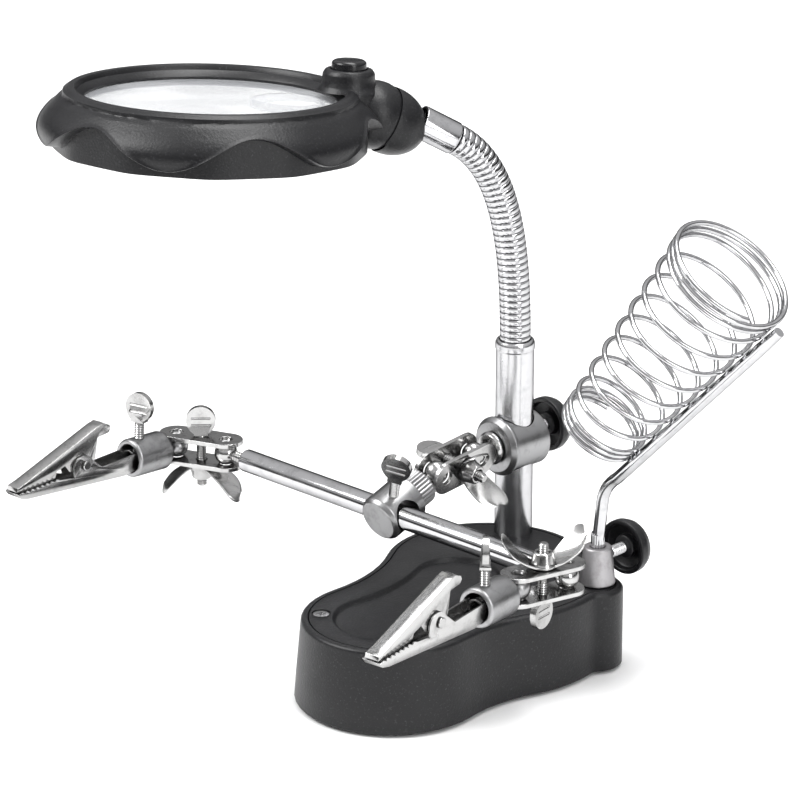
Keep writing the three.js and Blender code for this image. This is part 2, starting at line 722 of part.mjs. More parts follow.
// Two plates that squeeze a ball at each end, a thumb screw and a wing nut. The near ball is
// at the group's origin and the far one at +X. The wing nut is at +Z where nutUp is true.
function ballJoint(prefix, nutUp, nutSpin, headSpin) {
  const group = new THREE.Group();
  const upper = piece(`${prefix}_upper_plate`, jointPlate(), nickel);
  upper.position.z = PLATE_GAP / 2;
  const lower = piece(`${prefix}_lower_plate`, jointPlate(), nickel);
  lower.position.z = -PLATE_GAP / 2 - PLATE_THICK;
  group.add(upper, lower);
  const across = new THREE.Group();
  across.position.x = BALL_SPACING / 2;
  across.rotation.x = nutUp ? Math.PI : 0;
  const seat = PLATE_GAP / 2 + PLATE_THICK + GAP;
  const screw = piece(`${prefix}_screw`, spadeScrew(-seat - 8.4, seat, seat + 5.6), nickel);
  screw.rotation.z = radians(headSpin);
  const nut = piece(`${prefix}_wing_nut`, wingNut(), nickel);
  nut.rotation.set(Math.PI, 0, radians(nutSpin), 'ZYX');
  nut.position.z = -seat;
  across.add(screw, nut);
  group.add(across);
  return group;
}

// A ball on a neck along X, from the ball's centre at 0 to the neck's end.
function ballStud(neckEnd) {
  return join(sphere(BALL_R), rodX(2, 0, neckEnd, 14));
}

// ---------------------------------------------------------------- post clamp

function clampGroup() {
  const group = framed(new THREE.Vector3(0, 0, CLAMP_Z), CLAMP_AZIMUTH);
  group.name = 'clamp_frame';
  const bore = rod(POST_R + GAP, -20, 20, 28);
  const barrel = turnedX([
    [0, CLAMP_BACK], [CLAMP_R - 0.8, CLAMP_BACK], [CLAMP_R, CLAMP_BACK + 0.8],
    [CLAMP_R, CLAMP_FRONT], [FLANGE_R, CLAMP_FRONT], [FLANGE_R, CLAMP_FRONT + 1.2],
    [FLANGE_R - 1.6, CLAMP_FRONT + FLANGE_THICK], [0, CLAMP_FRONT + FLANGE_THICK],
  ], 32);
  const knobHole = rodX(2.1 + GAP, CLAMP_BACK - 1, -5, 14, 0, KNOB_LIFT);
  const studHole = rodX(2 + GAP, 8, 12, 14);
  group.add(piece('clamp_body', cut(barrel, bore, knobHole, studHole), nickel));
  const knob = piece('clamp_knob', dishKnob(POST_R + GAP * 2, 15.5), blackPlastic);
  knob.position.z = KNOB_LIFT;
  knob.rotation.z = Math.PI;
  group.add(knob);
  const boss = turnedX([[0, 10.5], [5.8, 10.5], [6.2, 11.6], [5.4, 13], [0, 13.4]], 20);
  const ball = move(turn(ballStud(7.5), 0, 0, Math.PI), CLAMP_TO_BALL, 0, 0);
  group.add(piece('clamp_ball_stud', join(boss, ball, rodX(2, 8.3, 12, 14)), nickel));
  return group;
}

const KNOB_LIFT = 2.4;

// ---------------------------------------------------------------- bar clamp and cross bar

const BAR_BORE_R = 5.6;
const BAR_BORE_AT = 24.2;
const BAR_CLAMP_R = 8.5;
const BAR_SCREW_ROLL = -22;

function barClampBody() {
  const barrel = turnedX([
    [0, 7.6], [6.2, 7.6], [6.7, 8.2], [6.7, 15], [BAR_CLAMP_R, 15.4], [BAR_CLAMP_R, 29.6],
    [BAR_CLAMP_R - 1.2, 31.2], [0, 31.2],
  ], 28);
  const bore = rodY(BAR_BORE_R, -20, 20, 24, BAR_BORE_AT, 0);
  const thread = turn(rod(SCREW_R + GAP, 3, 12, 12), radians(BAR_SCREW_ROLL), 0, 0);
  return cut(barrel, bore, move(thread, BAR_BORE_AT - 0.6, 0, 0), rodX(2 + GAP, 5, 13, 14));
}

function crossBar(left, right) {
  const tube = rodY(BAR_R, -(left - BAR_END), right - BAR_END, 20);
  const bores = [rodY(2 + GAP, -left, -left + BAR_END + 9, 12), rodY(2 + GAP, right - BAR_END - 9, right, 12)];
  return cut(tube, ...bores);
}

// ---------------------------------------------------------------- clips

function holderBody() {
  const barrel = turnedX([
    [0, HOLDER_START], [HOLDER_R - 1.4, HOLDER_START], [HOLDER_R, HOLDER_START + 1.6],
    [HOLDER_R, HOLDER_MOUTH - 0.6], [HOLDER_R - 0.6, HOLDER_MOUTH], [HOLDER_BORE, HOLDER_MOUTH],
    [HOLDER_BORE, HOLDER_MOUTH - HOLDER_DEPTH], [0, HOLDER_MOUTH - HOLDER_DEPTH],
  ], 24);
  const thread = rod(SCREW_R + GAP, 3, 10, 12, HOLDER_MOUTH - 5, 0);
  return join(cut(barrel, thread), ballStud(HOLDER_START + 1));
}

const CLIP_REACH = 0.94;         // share of the drawn length that the jaws get
const CLIP_PIVOT_X = 25.3;
const CLIP_PIVOT_Z = 3.7;
const LOWER_HALF = 3.7;
const UPPER_HALF = 2.8;
const SHEET = 0.6;
const TEETH = 7;
const TEETH_BACK = 40;
const TEETH_FRONT = 57;

// The saw-tooth line where the jaws meet, from back to front, moved up by rise.
function toothLine(rise) {
  const points = [];
  const pitch = (TEETH_FRONT - TEETH_BACK) / TEETH;
  for (let i = 0; i <= TEETH; i += 1) {
    const x = TEETH_BACK + i * pitch;
    const z = 1.4 - (1.3 * i) / TEETH + rise;
    points.push([x, z]);
    if (i < TEETH) points.push([x + pitch * 0.35, z - 0.9]);
  }
  return points;
}

// A side view in X and Z, pushed out to both sides of the middle plane.
function sideSlab(points, half) {
  const shape = new THREE.Shape(points.map(([x, z]) => new THREE.Vector2(x * CLIP_REACH, z)));
  const geometry = slab(shape, -half, half);
  geometry.rotateX(Math.PI / 2);
  return solid(geometry);
}

function lowerJaw() {
  const ear = [];
  for (let i = 0; i <= 8; i += 1) {
    const t = radians(150 - i * 22.5);
    ear.push([CLIP_PIVOT_X + 1.2 + 5.2 * Math.cos(t), CLIP_PIVOT_Z - 1.2 + 5.2 * Math.sin(t)]);
  }
  const outer = sideSlab([
    [-1, -3.2], [5.6, -4.5], [54, -2.9], [57.6, -2.2], [58.9, -0.6], ...toothLine(0).reverse(),
    [38.4, 0.9], [33.2, 0.5], ...ear.reverse(), [17, 1.4], [3, 2.6], [-1, 2.9],
  ], LOWER_HALF);
  const inner = sideSlab([
    [-4, -2.6], [5.6, -4.5 + SHEET], [54, -2.9 + SHEET], [57.9, -1.4], [57.9, 12], [-4, 12],
  ], LOWER_HALF - SHEET);
  const tail = cut(rodX(3.3, -11, 0, 16), rodX(2.6, -12, 1, 14), block(-12, -3, -1.2, 1.2, 0, 6));
  const pinHole = rodY(1.1 + GAP, -6, 6, 12, CLIP_PIVOT_X * CLIP_REACH, CLIP_PIVOT_Z);
  return cut(join(cut(outer, inner), tail), pinHole);
}

function upperJaw() {
  const rise = GAP + 0.05;
  const outer = sideSlab([
    ...toothLine(rise), [58.9, 0.1], [58.6, 1.6], [54.5, 2.8], [19, 16.5], [16, 17.3], [12.8, 16.2],
    [12.2, 14.8], [13.2, 13.4], [18.8, 12.6], [19.9, 5.2], [22.2, 1.2], [28, 0.6], [33, 2.6], [35.1, 5.2],
    [39.3, 3.8],
  ].reverse(), UPPER_HALF);
  const inner = sideSlab([
    [57.7, -2], [57.7, 1.2], [54.3, 2.8 - SHEET], [19, 16.5 - SHEET], [16, 16.6], [13.8, 15.6], [11, 14.6],
    [11, -2],
  ].reverse(), UPPER_HALF - SHEET);
  const pinHole = rodY(1.1 + GAP, -6, 6, 12, CLIP_PIVOT_X * CLIP_REACH, CLIP_PIVOT_Z);
  return cut(outer, inner, pinHole);
}

function clipPin() {
  return join(rodY(1.1, -4.3, 4.3, 12), rodY(1.9, 4, 4.6, 12), rodY(1.9, -4.6, -4, 12));
}

// Three turns of spring wire round the pin.
function clipSpring() {
  class Turns extends THREE.Curve {
    getPoint(t, target = new THREE.Vector3()) {
      const a = t * 6 * Math.PI;
      return target.set(1.9 * Math.cos(a), -1.5 + 3 * t, 1.9 * Math.sin(a));
    }
  }
  const wire = new THREE.Shape().absarc(0, 0, 0.32, 0, 2 * Math.PI);
  return solid(new THREE.ExtrudeGeometry(wire, { extrudePath: new Turns(), steps: 24, curveSegments: 2 }));
}

// The clip's holder, its thumb screw and the clip. The ball is at the group's origin.
function clipHolder(side, headSpin) {
  const group = new THREE.Group();
  group.add(piece(`${side}_clip_holder`, holderBody(), nickel));
  const screw = piece(`${side}_holder_screw`, spadeScrew(3.7, HOLDER_R + 6, HOLDER_R + 11.6), nickel);
  screw.position.x = HOLDER_MOUTH - 5;
  screw.rotation.z = radians(headSpin);
  group.add(screw);
  const clip = new THREE.Group();
  clip.position.x = HOLDER_MOUTH;
  clip.name = `${side}_clip_frame`;
  clip.add(piece(`${side}_lower_jaw`, lowerJaw(), nickel));
  clip.add(piece(`${side}_upper_jaw`, upperJaw(), nickel));
  const pin = piece(`${side}_clip_pin`, clipPin(), nickel);
  pin.position.set(CLIP_PIVOT_X * CLIP_REACH, 0, CLIP_PIVOT_Z);
  const spring = piece(`${side}_clip_spring`, clipSpring(), steel);
  spring.position.copy(pin.position);
  clip.add(pin, spring);
  group.add(clip);
  return group;
}

// ---------------------------------------------------------------- arms chain

function armsGroup() {
  const group = new THREE.Group();
  const clampCentre = new THREE.Vector3(0, 0, CLAMP_Z);
  const nearBall = clampCentre.clone().addScaledVector(heading(CLAMP_AZIMUTH), CLAMP_TO_BALL);
  const centre = framed(nearBall, CENTRE_AZIMUTH, CENTRE_SLOPE, CENTRE_ROLL);
  centre.name = 'centre_joint_frame';
  centre.add(ballJoint('centre', true, 60, 90));
  const farBall = nearBall.clone().addScaledVector(heading(CENTRE_AZIMUTH, CENTRE_SLOPE), BALL_SPACING);
  const bar = framed(farBall, BAR_CLAMP_AZIMUTH, BAR_CLAMP_SLOPE);
  bar.name = 'bar_clamp_frame';
  bar.add(piece('bar_clamp_stud', ballStud(12.6), nickel));
  bar.add(piece('bar_clamp', barClampBody(), nickel));
  const screw = piece('bar_clamp_screw', spadeScrew(BAR_R + 1.1, BAR_CLAMP_R + 3.4, BAR_CLAMP_R + 9.2), nickel);
  const screwFrame = new THREE.Group();
  screwFrame.position.x = BAR_BORE_AT - 0.6;
  screwFrame.rotation.x = radians(BAR_SCREW_ROLL);
  screw.rotation.z = radians(24);
  screwFrame.add(screw);
  bar.add(screwFrame);
  const tube = piece('cross_bar', crossBar(BAR_LEFT, BAR_RIGHT), chrome);
  tube.position.x = BAR_TO_BALL;
  bar.add(tube);
  for (const [side, reach, away] of [['left', -BAR_LEFT, 1], ['right', BAR_RIGHT, -1]]) {
    const stud = piece(`${side}_bar_stud`, ballStud(BAR_END + 8), nickel);
    stud.rotation.z = (away * Math.PI) / 2;
    stud.position.set(BAR_TO_BALL, reach, 0);
    bar.add(stud);
  }
  group.add(centre, bar);

  const barCentre = farBall.clone().addScaledVector(heading(BAR_CLAMP_AZIMUTH, BAR_CLAMP_SLOPE), BAR_TO_BALL);
  const along = heading(BAR_CLAMP_AZIMUTH + 90);
  for (const arm of ARMS) {
    const inner = barCentre.clone().addScaledVector(along, arm.reach);
    const joint = framed(inner, arm.azimuth, arm.slope);
    joint.name = `${arm.side}_joint_frame`;
    joint.add(ballJoint(arm.side, arm.nutUp, arm.nutSpin, arm.headSpin));
    const outer = inner.clone().addScaledVector(heading(arm.azimuth, arm.slope), BALL_SPACING);
    const holder = framed(outer, arm.clipAzimuth, arm.clipSlope);
    holder.name = `${arm.side}_holder_frame`;
    holder.add(clipHolder(arm.side, arm.clipScrewSpin));
    group.add(joint, holder);
  }
  return group;
}

const CENTRE_AZIMUTH = 262.8;
const CENTRE_SLOPE = -3.7;
const CENTRE_ROLL = -99.8;
const BAR_CLAMP_AZIMUTH = 261.3;
const BAR_CLAMP_SLOPE = -18.5;
const ARMS = [
  {
    side: 'left', reach: -BAR_LEFT, azimuth: 191.8, slope: 0, nutUp: false, nutSpin: 6, headSpin: -66.7,
    clipAzimuth: 261, clipSlope: 3.2, clipScrewSpin: 15,
  },
  {
    side: 'right', reach: BAR_RIGHT, azimuth: 248.5, slope: 1.4, nutUp: true, nutSpin: 12, headSpin: 68.5,
    clipAzimuth: 267.2, clipSlope: 1.2, clipScrewSpin: -52,
  },
];

// ---------------------------------------------------------------- soldering iron stand

function standSocket() {
  const cone = turned([
    [0, BASE_HEIGHT + GAP], [6.4, BASE_HEIGHT + GAP], [6.3, BASE_HEIGHT + 1.4], [5, STAND_SOCKET_TOP - 0.5],
    [4.6, STAND_SOCKET_TOP], [0, STAND_SOCKET_TOP],
  ], 24);
  const peg = rod(STAND_PEG_R, BASE_DECK - 2, BASE_HEIGHT + 1, 14);
  const bore = rod(ROD_R + GAP, BASE_HEIGHT + 3, STAND_SOCKET_TOP + 1, 18);
  return join(cone, peg).subtract(bore);
}

// The rod: upright in its socket, then bent over to the slope of the coil.
function standRod() {
  const lean = heading(0, ROD_LEAN);
  const length = (ROD_END.z - 72.3) / Math.sin(radians(ROD_LEAN));
  const bendEnd = ROD_END.clone().addScaledVector(lean, -length);
  const foot = new THREE.Vector3(STAND_X, STAND_Y, BASE_HEIGHT + 3.4);
  const neck = new THREE.Vector3(STAND_X, STAND_Y, STAND_SOCKET_TOP + 1);
  const bendStart = new THREE.Vector3(STAND_X + 1.6, STAND_Y, 62);
  const corner = new THREE.Vector3(STAND_X + 2.2, STAND_Y, 68.4);
  const path = new THREE.CurvePath();
  path.add(new THREE.LineCurve3(foot, neck));
  path.add(new THREE.LineCurve3(neck, bendStart));
  path.add(new THREE.QuadraticBezierCurve3(bendStart, corner, bendEnd));
  path.add(new THREE.LineCurve3(bendEnd, ROD_END));
  const circle = new THREE.Shape().absarc(0, 0, ROD_R, 0, 2 * Math.PI);
  return solid(new THREE.ExtrudeGeometry(circle, { extrudePath: path, steps: 24, curveSegments: 5 }));
}

// The iron rest: a conical coil, close turns at both ends and open turns between.
class ConeCoil extends THREE.Curve {
  getPoint(t, target = new THREE.Vector3()) {
    const ease = t < 0.22 ? t * 0.35 : t > 0.8 ? 1 - (1 - t) * 0.4 : 0.077 + ((t - 0.22) * 0.843) / 0.58;
    const radius = COIL_SMALL_R + (COIL_LARGE_R - COIL_SMALL_R) * ease;
    const angle = 2 * Math.PI * COIL_TURNS * t + COIL_START;
    const axis = COIL_LARGE.clone().sub(COIL_SMALL);
    const side = new THREE.Vector3(0, 1, 0);
    const up = axis.clone().normalize().cross(side).normalize();
    target.copy(COIL_SMALL).addScaledVector(axis, ease);
    target.addScaledVector(side, radius * Math.cos(angle));
    return target.addScaledVector(up, radius * Math.sin(angle));
  }
}

const COIL_TURNS = 12.58;
const COIL_START = 0.4;

function ironCoil() {
  const circle = new THREE.Shape().absarc(0, 0, WIRE_R, 0, 2 * Math.PI);
  return solid(new THREE.ExtrudeGeometry(circle, { extrudePath: new ConeCoil(), steps: 170, curveSegments: 3 }));
}

function standGroup() {
  const group = new THREE.Group();
  const socket = piece('stand_socket', standSocket(), zinc);
  socket.position.set(STAND_X, STAND_Y, 0);
  group.add(socket);
  const knobFrame = framed(new THREE.Vector3(STAND_X, STAND_Y, 40.5), STAND_KNOB_AZIMUTH);
  knobFrame.name = 'stand_knob_frame';
  knobFrame.add(piece('stand_knob', dishKnob(6.8, STAND_KNOB_RIM), blackPlastic));
  group.add(knobFrame);
  group.add(piece('stand_rod', standRod(), chrome));
  group.add(piece('iron_coil', ironCoil(), chrome));
  return group;
}

const STAND_KNOB_AZIMUTH = 81;
const STAND_KNOB_RIM = 13.6;       // the dish's open edge from the socket's axis

// ---------------------------------------------------------------- assembly

const headFrame = headGroup();
const neckFrame = gooseGroup();
headFrame.updateMatrix();
neckFrame.updateMatrix();
neckFrame.add(piece('neck_shell', neckShell(headFrame, neckFrame), blackPlastic));

const assembly = new THREE.Group();
assembly.add(baseGroup());
assembly.add(piece('post_tube', postTube(), chrome));
assembly.add(neckFrame);
assembly.add(headFrame);
assembly.add(clampGroup());
assembly.add(armsGroup());
assembly.add(standGroup());

export default assembly;
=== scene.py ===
from math import atan2, cos, degrees, exp, hypot, inf, pi, radians, sin, sqrt
import bmesh
import bpy
from mathutils import Matrix, Vector


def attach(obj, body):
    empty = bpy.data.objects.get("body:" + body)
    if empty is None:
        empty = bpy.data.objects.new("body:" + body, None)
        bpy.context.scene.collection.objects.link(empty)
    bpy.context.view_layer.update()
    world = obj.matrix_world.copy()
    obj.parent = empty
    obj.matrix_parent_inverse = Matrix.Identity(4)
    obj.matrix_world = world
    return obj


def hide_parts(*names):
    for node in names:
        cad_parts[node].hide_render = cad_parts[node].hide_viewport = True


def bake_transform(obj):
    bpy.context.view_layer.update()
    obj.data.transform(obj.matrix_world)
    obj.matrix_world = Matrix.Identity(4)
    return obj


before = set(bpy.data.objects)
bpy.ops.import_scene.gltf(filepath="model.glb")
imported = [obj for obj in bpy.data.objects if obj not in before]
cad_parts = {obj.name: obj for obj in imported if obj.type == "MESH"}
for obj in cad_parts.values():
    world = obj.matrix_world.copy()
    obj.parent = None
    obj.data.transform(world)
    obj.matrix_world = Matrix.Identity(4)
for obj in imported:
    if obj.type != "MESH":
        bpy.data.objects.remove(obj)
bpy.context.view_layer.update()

MM = 0.001

# -------------------- camera, floor and light

camera_data = bpy.data.cameras.new("bench camera")
camera_data.lens = 180
camera_data.sensor_width = 36
camera_data.clip_start = 0.05
camera_data.clip_end = 20
camera = bpy.data.objects.new("bench camera", camera_data)
bpy.context.scene.collection.objects.link(camera)
bpy.context.scene.camera = camera
CAMERA_AZIMUTH = radians(35.1)
CAMERA_PITCH = radians(20.5)
camera_back = Vector((
    sin(CAMERA_AZIMUTH) * cos(CAMERA_PITCH),
    -cos(CAMERA_AZIMUTH) * cos(CAMERA_PITCH),
    sin(CAMERA_PITCH),
))
camera.location = (0.74022, -1.12476, 0.58486)
camera.rotation_mode = "QUATERNION"
camera.rotation_quaternion = (-camera_back).to_track_quat("-Z", "Y")


def area_light(name, place, aim, size, power):
    """A soft rectangular studio light that faces a point."""
    data = bpy.data.lights.new(name, "AREA")
    data.shape = "RECTANGLE"
    data.size, data.size_y = size
    data.energy = power
    lamp = bpy.data.objects.new(name, data)
    bpy.context.scene.collection.objects.link(lamp)
    lamp.location = place
    lamp.rotation_mode = "QUATERNION"
    lamp.rotation_quaternion = (Vector(aim) - Vector(place)).to_track_quat("-Z", "Y")


MIDDLE = (-0.01, -0.05, 0.1)
area_light("key panel", (-0.9, -0.9, 1.3), MIDDLE, (0.9, 0.9), 26)
area_light("fill panel", (1.3, -0.5, 0.7), MIDDLE, (0.5, 1.2), 9)
area_light("top panel", (0.1, 0.2, 1.6), MIDDLE, (1.4, 0.6), 24)

world = bpy.data.worlds.new("studio")
bpy.context.scene.world = world
world.use_nodes = True
sky = world.node_tree
sky.nodes.clear()
sky_out = sky.nodes.new("ShaderNodeOutputWorld")
sky_light = sky.nodes.new("ShaderNodeBackground")
sky_ramp = sky.nodes.new("ShaderNodeValToRGB")
sky_split = sky.nodes.new("ShaderNodeSeparateXYZ")
sky_place = sky.nodes.new("ShaderNodeTexCoord")
sky_stops = sky_ramp.color_ramp.elements
sky_stops[0].color = (0.75, 0.75, 0.76, 1)
sky_stops[1].color = (1, 1, 1, 1)
SKY_BAND = ((0.44, 0.3), (0.47, 0.05), (0.57, 0.05), (0.61, 0.3), (0.67, 0.72), (0.8, 0.9))
for height, shade in SKY_BAND:
    stop = sky_stops.new(height)
    stop.color = (shade, shade, shade * 1.01, 1)
sky_rescale = sky.nodes.new("ShaderNodeMapRange")
sky_rescale.inputs["From Min"].default_value = -1
sky_rescale.inputs["From Max"].default_value = 1
sky.links.new(sky_place.outputs["Generated"], sky_split.inputs[0])
sky.links.new(sky_split.outputs["Z"], sky_rescale.inputs["Value"])
sky.links.new(sky_rescale.outputs["Result"], sky_ramp.inputs["Fac"])
sky.links.new(sky_ramp.outputs["Color"], sky_light.inputs["Color"])
sky.links.new(sky_light.outputs["Background"], sky_out.inputs["Surface"])
sky_light.inputs["Strength"].default_value = 0.8
bpy.context.scene.view_settings.view_transform = "Standard"

# -------------------- node groups


def new_group(name, inputs, outputs):
    """An empty shader group with named sockets, its input node and its output node."""
    group = bpy.data.node_groups.new(name, "ShaderNodeTree")
    for label, kind, value in inputs:
        socket = group.interface.new_socket(name=label, in_out="INPUT", socket_type=kind)
        if value is not None:
            socket.default_value = value
    for label, kind in outputs:
        group.interface.new_socket(name=label, in_out="OUTPUT", socket_type=kind)
    return group, group.nodes.new("NodeGroupInput"), group.nodes.new("NodeGroupOutput")


FLOAT, VECTOR = "NodeSocketFloat", "NodeSocketVector"


def noise(tree, scale, detail, where, roughness=0.55):
    node = tree.nodes.new("ShaderNodeTexNoise")
    node.inputs["Scale"].default_value = scale
    node.inputs["Detail"].default_value = detail
    node.inputs["Roughness"].default_value = roughness
    tree.links.new(where, node.inputs["Vector"])
    return node


def spread(tree, source, low, high, to_low, to_high):
    """Stretches a value from one range to another, kept inside the second."""
    node = tree.nodes.new("ShaderNodeMapRange")
    ends = {"From Min": low, "From Max": high, "To Min": to_low, "To Max": to_high}
    for label, value in ends.items():
        node.inputs[label].default_value = value
    tree.links.new(source, node.inputs["Value"])
    return node.outputs["Result"]


def multiply_add(tree, value, factor, extra):
    """Multiplies a value by a number or a socket and adds another socket."""
    node = tree.nodes.new("ShaderNodeMath")
    node.operation = "MULTIPLY_ADD"
    tree.links.new(value, node.inputs[0])
    if isinstance(factor, float):
        node.inputs[1].default_value = factor
    else:
        tree.links.new(factor, node.inputs[1])
    tree.links.new(extra, node.inputs[2])
    return node.outputs[0]


def moulded_grain():
    """Fine moulded texture of black plastic: a height and a patchy roughness."""
    group, start, end = new_group(
        "moulded grain",
        [("Vector", VECTOR, None), ("Grain Scale", FLOAT, 900), ("Roughness", FLOAT, 0.45),
         ("Patch", FLOAT, 0.06)],
        [("Height", FLOAT), ("Roughness", FLOAT), ("Dust", FLOAT)],
    )
    grain = group.nodes.new("ShaderNodeTexVoronoi")
    group.links.new(start.outputs["Vector"], grain.inputs["Vector"])
    group.links.new(start.outputs["Grain Scale"], grain.inputs["Scale"])
    fine = noise(group, 2600, 3, start.outputs["Vector"])
    mix = group.nodes.new("ShaderNodeMath")
    mix.operation = "ADD"
    group.links.new(grain.outputs["Distance"], mix.inputs[0])
    group.links.new(fine.outputs["Fac"], mix.inputs[1])
    group.links.new(mix.outputs[0], end.inputs["Height"])
    patch = noise(group, 38, 4, start.outputs["Vector"])
    patchy = multiply_add(group, spread(group, patch.outputs["Fac"], 0.3, 0.7, -1, 1),
                          start.outputs["Patch"], start.outputs["Roughness"])
    group.links.new(patchy, end.inputs["Roughness"])
    dust = noise(group, 1300, 2, start.outputs["Vector"], 0.6)
    group.links.new(spread(group, dust.outputs["Fac"], 0.6, 0.74, 0, 1), end.inputs["Dust"])
    return group


def plated_surface():
    """Plated metal: fine wiping scratches, smudges in the roughness and a slight ripple."""
    group, start, end = new_group(
        "plated surface",
        [("Vector", VECTOR, None), ("Roughness", FLOAT, 0.1), ("Smudge", FLOAT, 0.05),
         ("Ripple Scale", FLOAT, 120)],
        [("Height", FLOAT), ("Roughness", FLOAT), ("Stain", FLOAT)],
    )
    smudge = noise(group, 55, 5, start.outputs["Vector"], 0.6)
    smudged = multiply_add(group, spread(group, smudge.outputs["Fac"], 0.42, 0.72, 0, 1),
                           start.outputs["Smudge"], start.outputs["Roughness"])
    group.links.new(smudged, end.inputs["Roughness"])
    ripple = noise(group, 120, 2, start.outputs["Vector"])
    group.links.new(start.outputs["Ripple Scale"], ripple.inputs["Scale"])
    stretch = group.nodes.new("ShaderNodeMapping")
    stretch.inputs["Scale"].default_value = (1, 1, 0.06)
    group.links.new(start.outputs["Vector"], stretch.inputs["Vector"])
    lines = noise(group, 2400, 2, stretch.outputs["Vector"])
    height = multiply_add(group, lines.outputs["Fac"], 0.12, ripple.outputs["Fac"])
    group.links.new(height, end.inputs["Height"])
    stain = noise(group, 210, 6, start.outputs["Vector"], 0.7)
    group.links.new(spread(group, stain.outputs["Fac"], 0.5, 0.78, 0, 1), end.inputs["Stain"])
    return group


GRAIN = moulded_grain()
PLATING = plated_surface()

# -------------------- materials


def blank_material(name):
    """A material with its tree, its shader and the object's own coordinates."""
    material = bpy.data.materials.new(name)
    material.use_nodes = True
    tree = material.node_tree
    shader = tree.nodes["Principled BSDF"]
    where = tree.nodes.new("ShaderNodeTexCoord").outputs["Object"]
    return material, tree, shader, where


def effect(tree, group, where, **values):
    """A node group in a material, with its settings."""
    node = tree.nodes.new("ShaderNodeGroup")
    node.node_tree = group
    tree.links.new(where, node.inputs["Vector"])
    for label, value in values.items():
        node.inputs[label.replace("_", " ")].default_value = value
    return node


def bump(tree, shader, height, strength, distance):
    node = tree.nodes.new("ShaderNodeBump")
    node.inputs["Strength"].default_value = strength
    node.inputs["Distance"].default_value = distance
    tree.links.new(height, node.inputs["Height"])
    tree.links.new(node.outputs["Normal"], shader.inputs["Normal"])


def colour_mix(tree, factor, first, second):
    node = tree.nodes.new("ShaderNodeMix")
    node.data_type = "RGBA"
    tree.links.new(factor, node.inputs["Factor"])
    node.inputs["A"].default_value = (*first, 1)
    node.inputs["B"].default_value = (*second, 1)
    return node.outputs["Result"]


def moulded_plastic(name, colour, dusty, roughness, grain_scale, depth):
    material, tree, shader, where = blank_material(name)
    grain = effect(tree, GRAIN, where, Grain_Scale=grain_scale, Roughness=roughness, Patch=0.05)
    tree.links.new(colour_mix(tree, grain.outputs["Dust"], colour, dusty), shader.inputs["Base Color"])
    tree.links.new(grain.outputs["Roughness"], shader.inputs["Roughness"])
    shader.inputs["Specular IOR Level"].default_value = 0.36
    bump(tree, shader, grain.outputs["Height"], 0.35, depth)
    return material


def plated_metal(name, colour, stained, roughness, smudge, ripple, depth):
    material, tree, shader, where = blank_material(name)
    shader.inputs["Metallic"].default_value = 1
    # A dark edge tint: painted shade that darkens every plated metal's reflection towards its outlines.
    shader.inputs["Specular Tint"].default_value = (0.16, 0.16, 0.16, 1)
    plate = effect(tree, PLATING, where, Roughness=roughness, Smudge=smudge, Ripple_Scale=ripple)
    tree.links.new(colour_mix(tree, plate.outputs["Stain"], colour, stained), shader.inputs["Base Color"])
    tree.links.new(plate.outputs["Roughness"], shader.inputs["Roughness"])
    bump(tree, shader, plate.outputs["Height"], 0.3, depth)
    return material


black_plastic = moulded_plastic(
    "black moulded plastic", (0.0055, 0.0055, 0.0065), (0.03, 0.03, 0.033), 0.38, 1100, 0.00012)
black_gloss = moulded_plastic(
    "black button plastic", (0.009, 0.009, 0.01), (0.014, 0.014, 0.015), 0.22, 1500, 0.00001)
black_rubber = moulded_plastic(
    "black foot rubber", (0.012, 0.012, 0.012), (0.03, 0.03, 0.03), 0.75, 700, 0.00006)
chrome = plated_metal(
    "chrome plate", (0.58, 0.58, 0.59), (0.42, 0.42, 0.43), 0.08, 0.08, 60, 0.00001)
nickel = plated_metal(
    "nickel plate", (0.5, 0.498, 0.495), (0.3, 0.298, 0.295), 0.16, 0.14, 160, 0.00004)
satin = plated_metal(
    "satin nickel", (0.36, 0.36, 0.365), (0.22, 0.22, 0.22), 0.28, 0.12, 420, 0.00007)
brushed_chrome = plated_metal(
    "brushed chrome", (0.6, 0.6, 0.61), (0.42, 0.42, 0.43), 0.2, 0.1, 60, 0.00002)
steel = plated_metal(
    "plain steel", (0.56, 0.56, 0.57), (0.4, 0.39, 0.38), 0.25, 0.15, 200, 0.00003)
cast_zinc = plated_metal(
    "cast zinc", (0.42, 0.41, 0.42), (0.28, 0.27, 0.27), 0.42, 0.15, 700, 0.00025)
white_ring = moulded_plastic(
    "white lamp ring", (0.8, 0.8, 0.77), (0.7, 0.7, 0.66), 0.4, 1200, 0.00003)
battery_wrap = moulded_plastic(
    "battery wrap", (0.16, 0.19, 0.22), (0.2, 0.23, 0.26), 0.35, 600, 0.00002)


def lens_material(name, dim, bright):
    """Polished acrylic seen at a low angle, painted as a pale, partly see-through sheet: the pale colour and
    its soft streaks are painted reflection, and the opacity that rises towards grazing angles is painted
    reflection too.
    """
    material, tree, shader, where = blank_material(name)
    # Soft streaks of painted reflection across the pale colour.
    painted_reflection_streaks = noise(tree, 30, 1, where)
    painted_reflection_share = spread(tree, painted_reflection_streaks.outputs["Fac"], 0.44, 0.56, 0, 1)
    tree.links.new(colour_mix(tree, painted_reflection_share, dim, bright), shader.inputs["Base Color"])
    shader.inputs["Specular IOR Level"].default_value = 0.3
    haze = noise(tree, 90, 4, where)
    tree.links.new(spread(tree, haze.outputs["Fac"], 0.45, 0.75, 0.02, 0.05), shader.inputs["Roughness"])
    # Opacity rises towards grazing angles: a painted reflection.
    facing = tree.nodes.new("ShaderNodeLayerWeight")
    tree.links.new(spread(tree, facing.outputs["Facing"], 0.5, 1.0, 0.2, 0.62), shader.inputs["Alpha"])
    return material


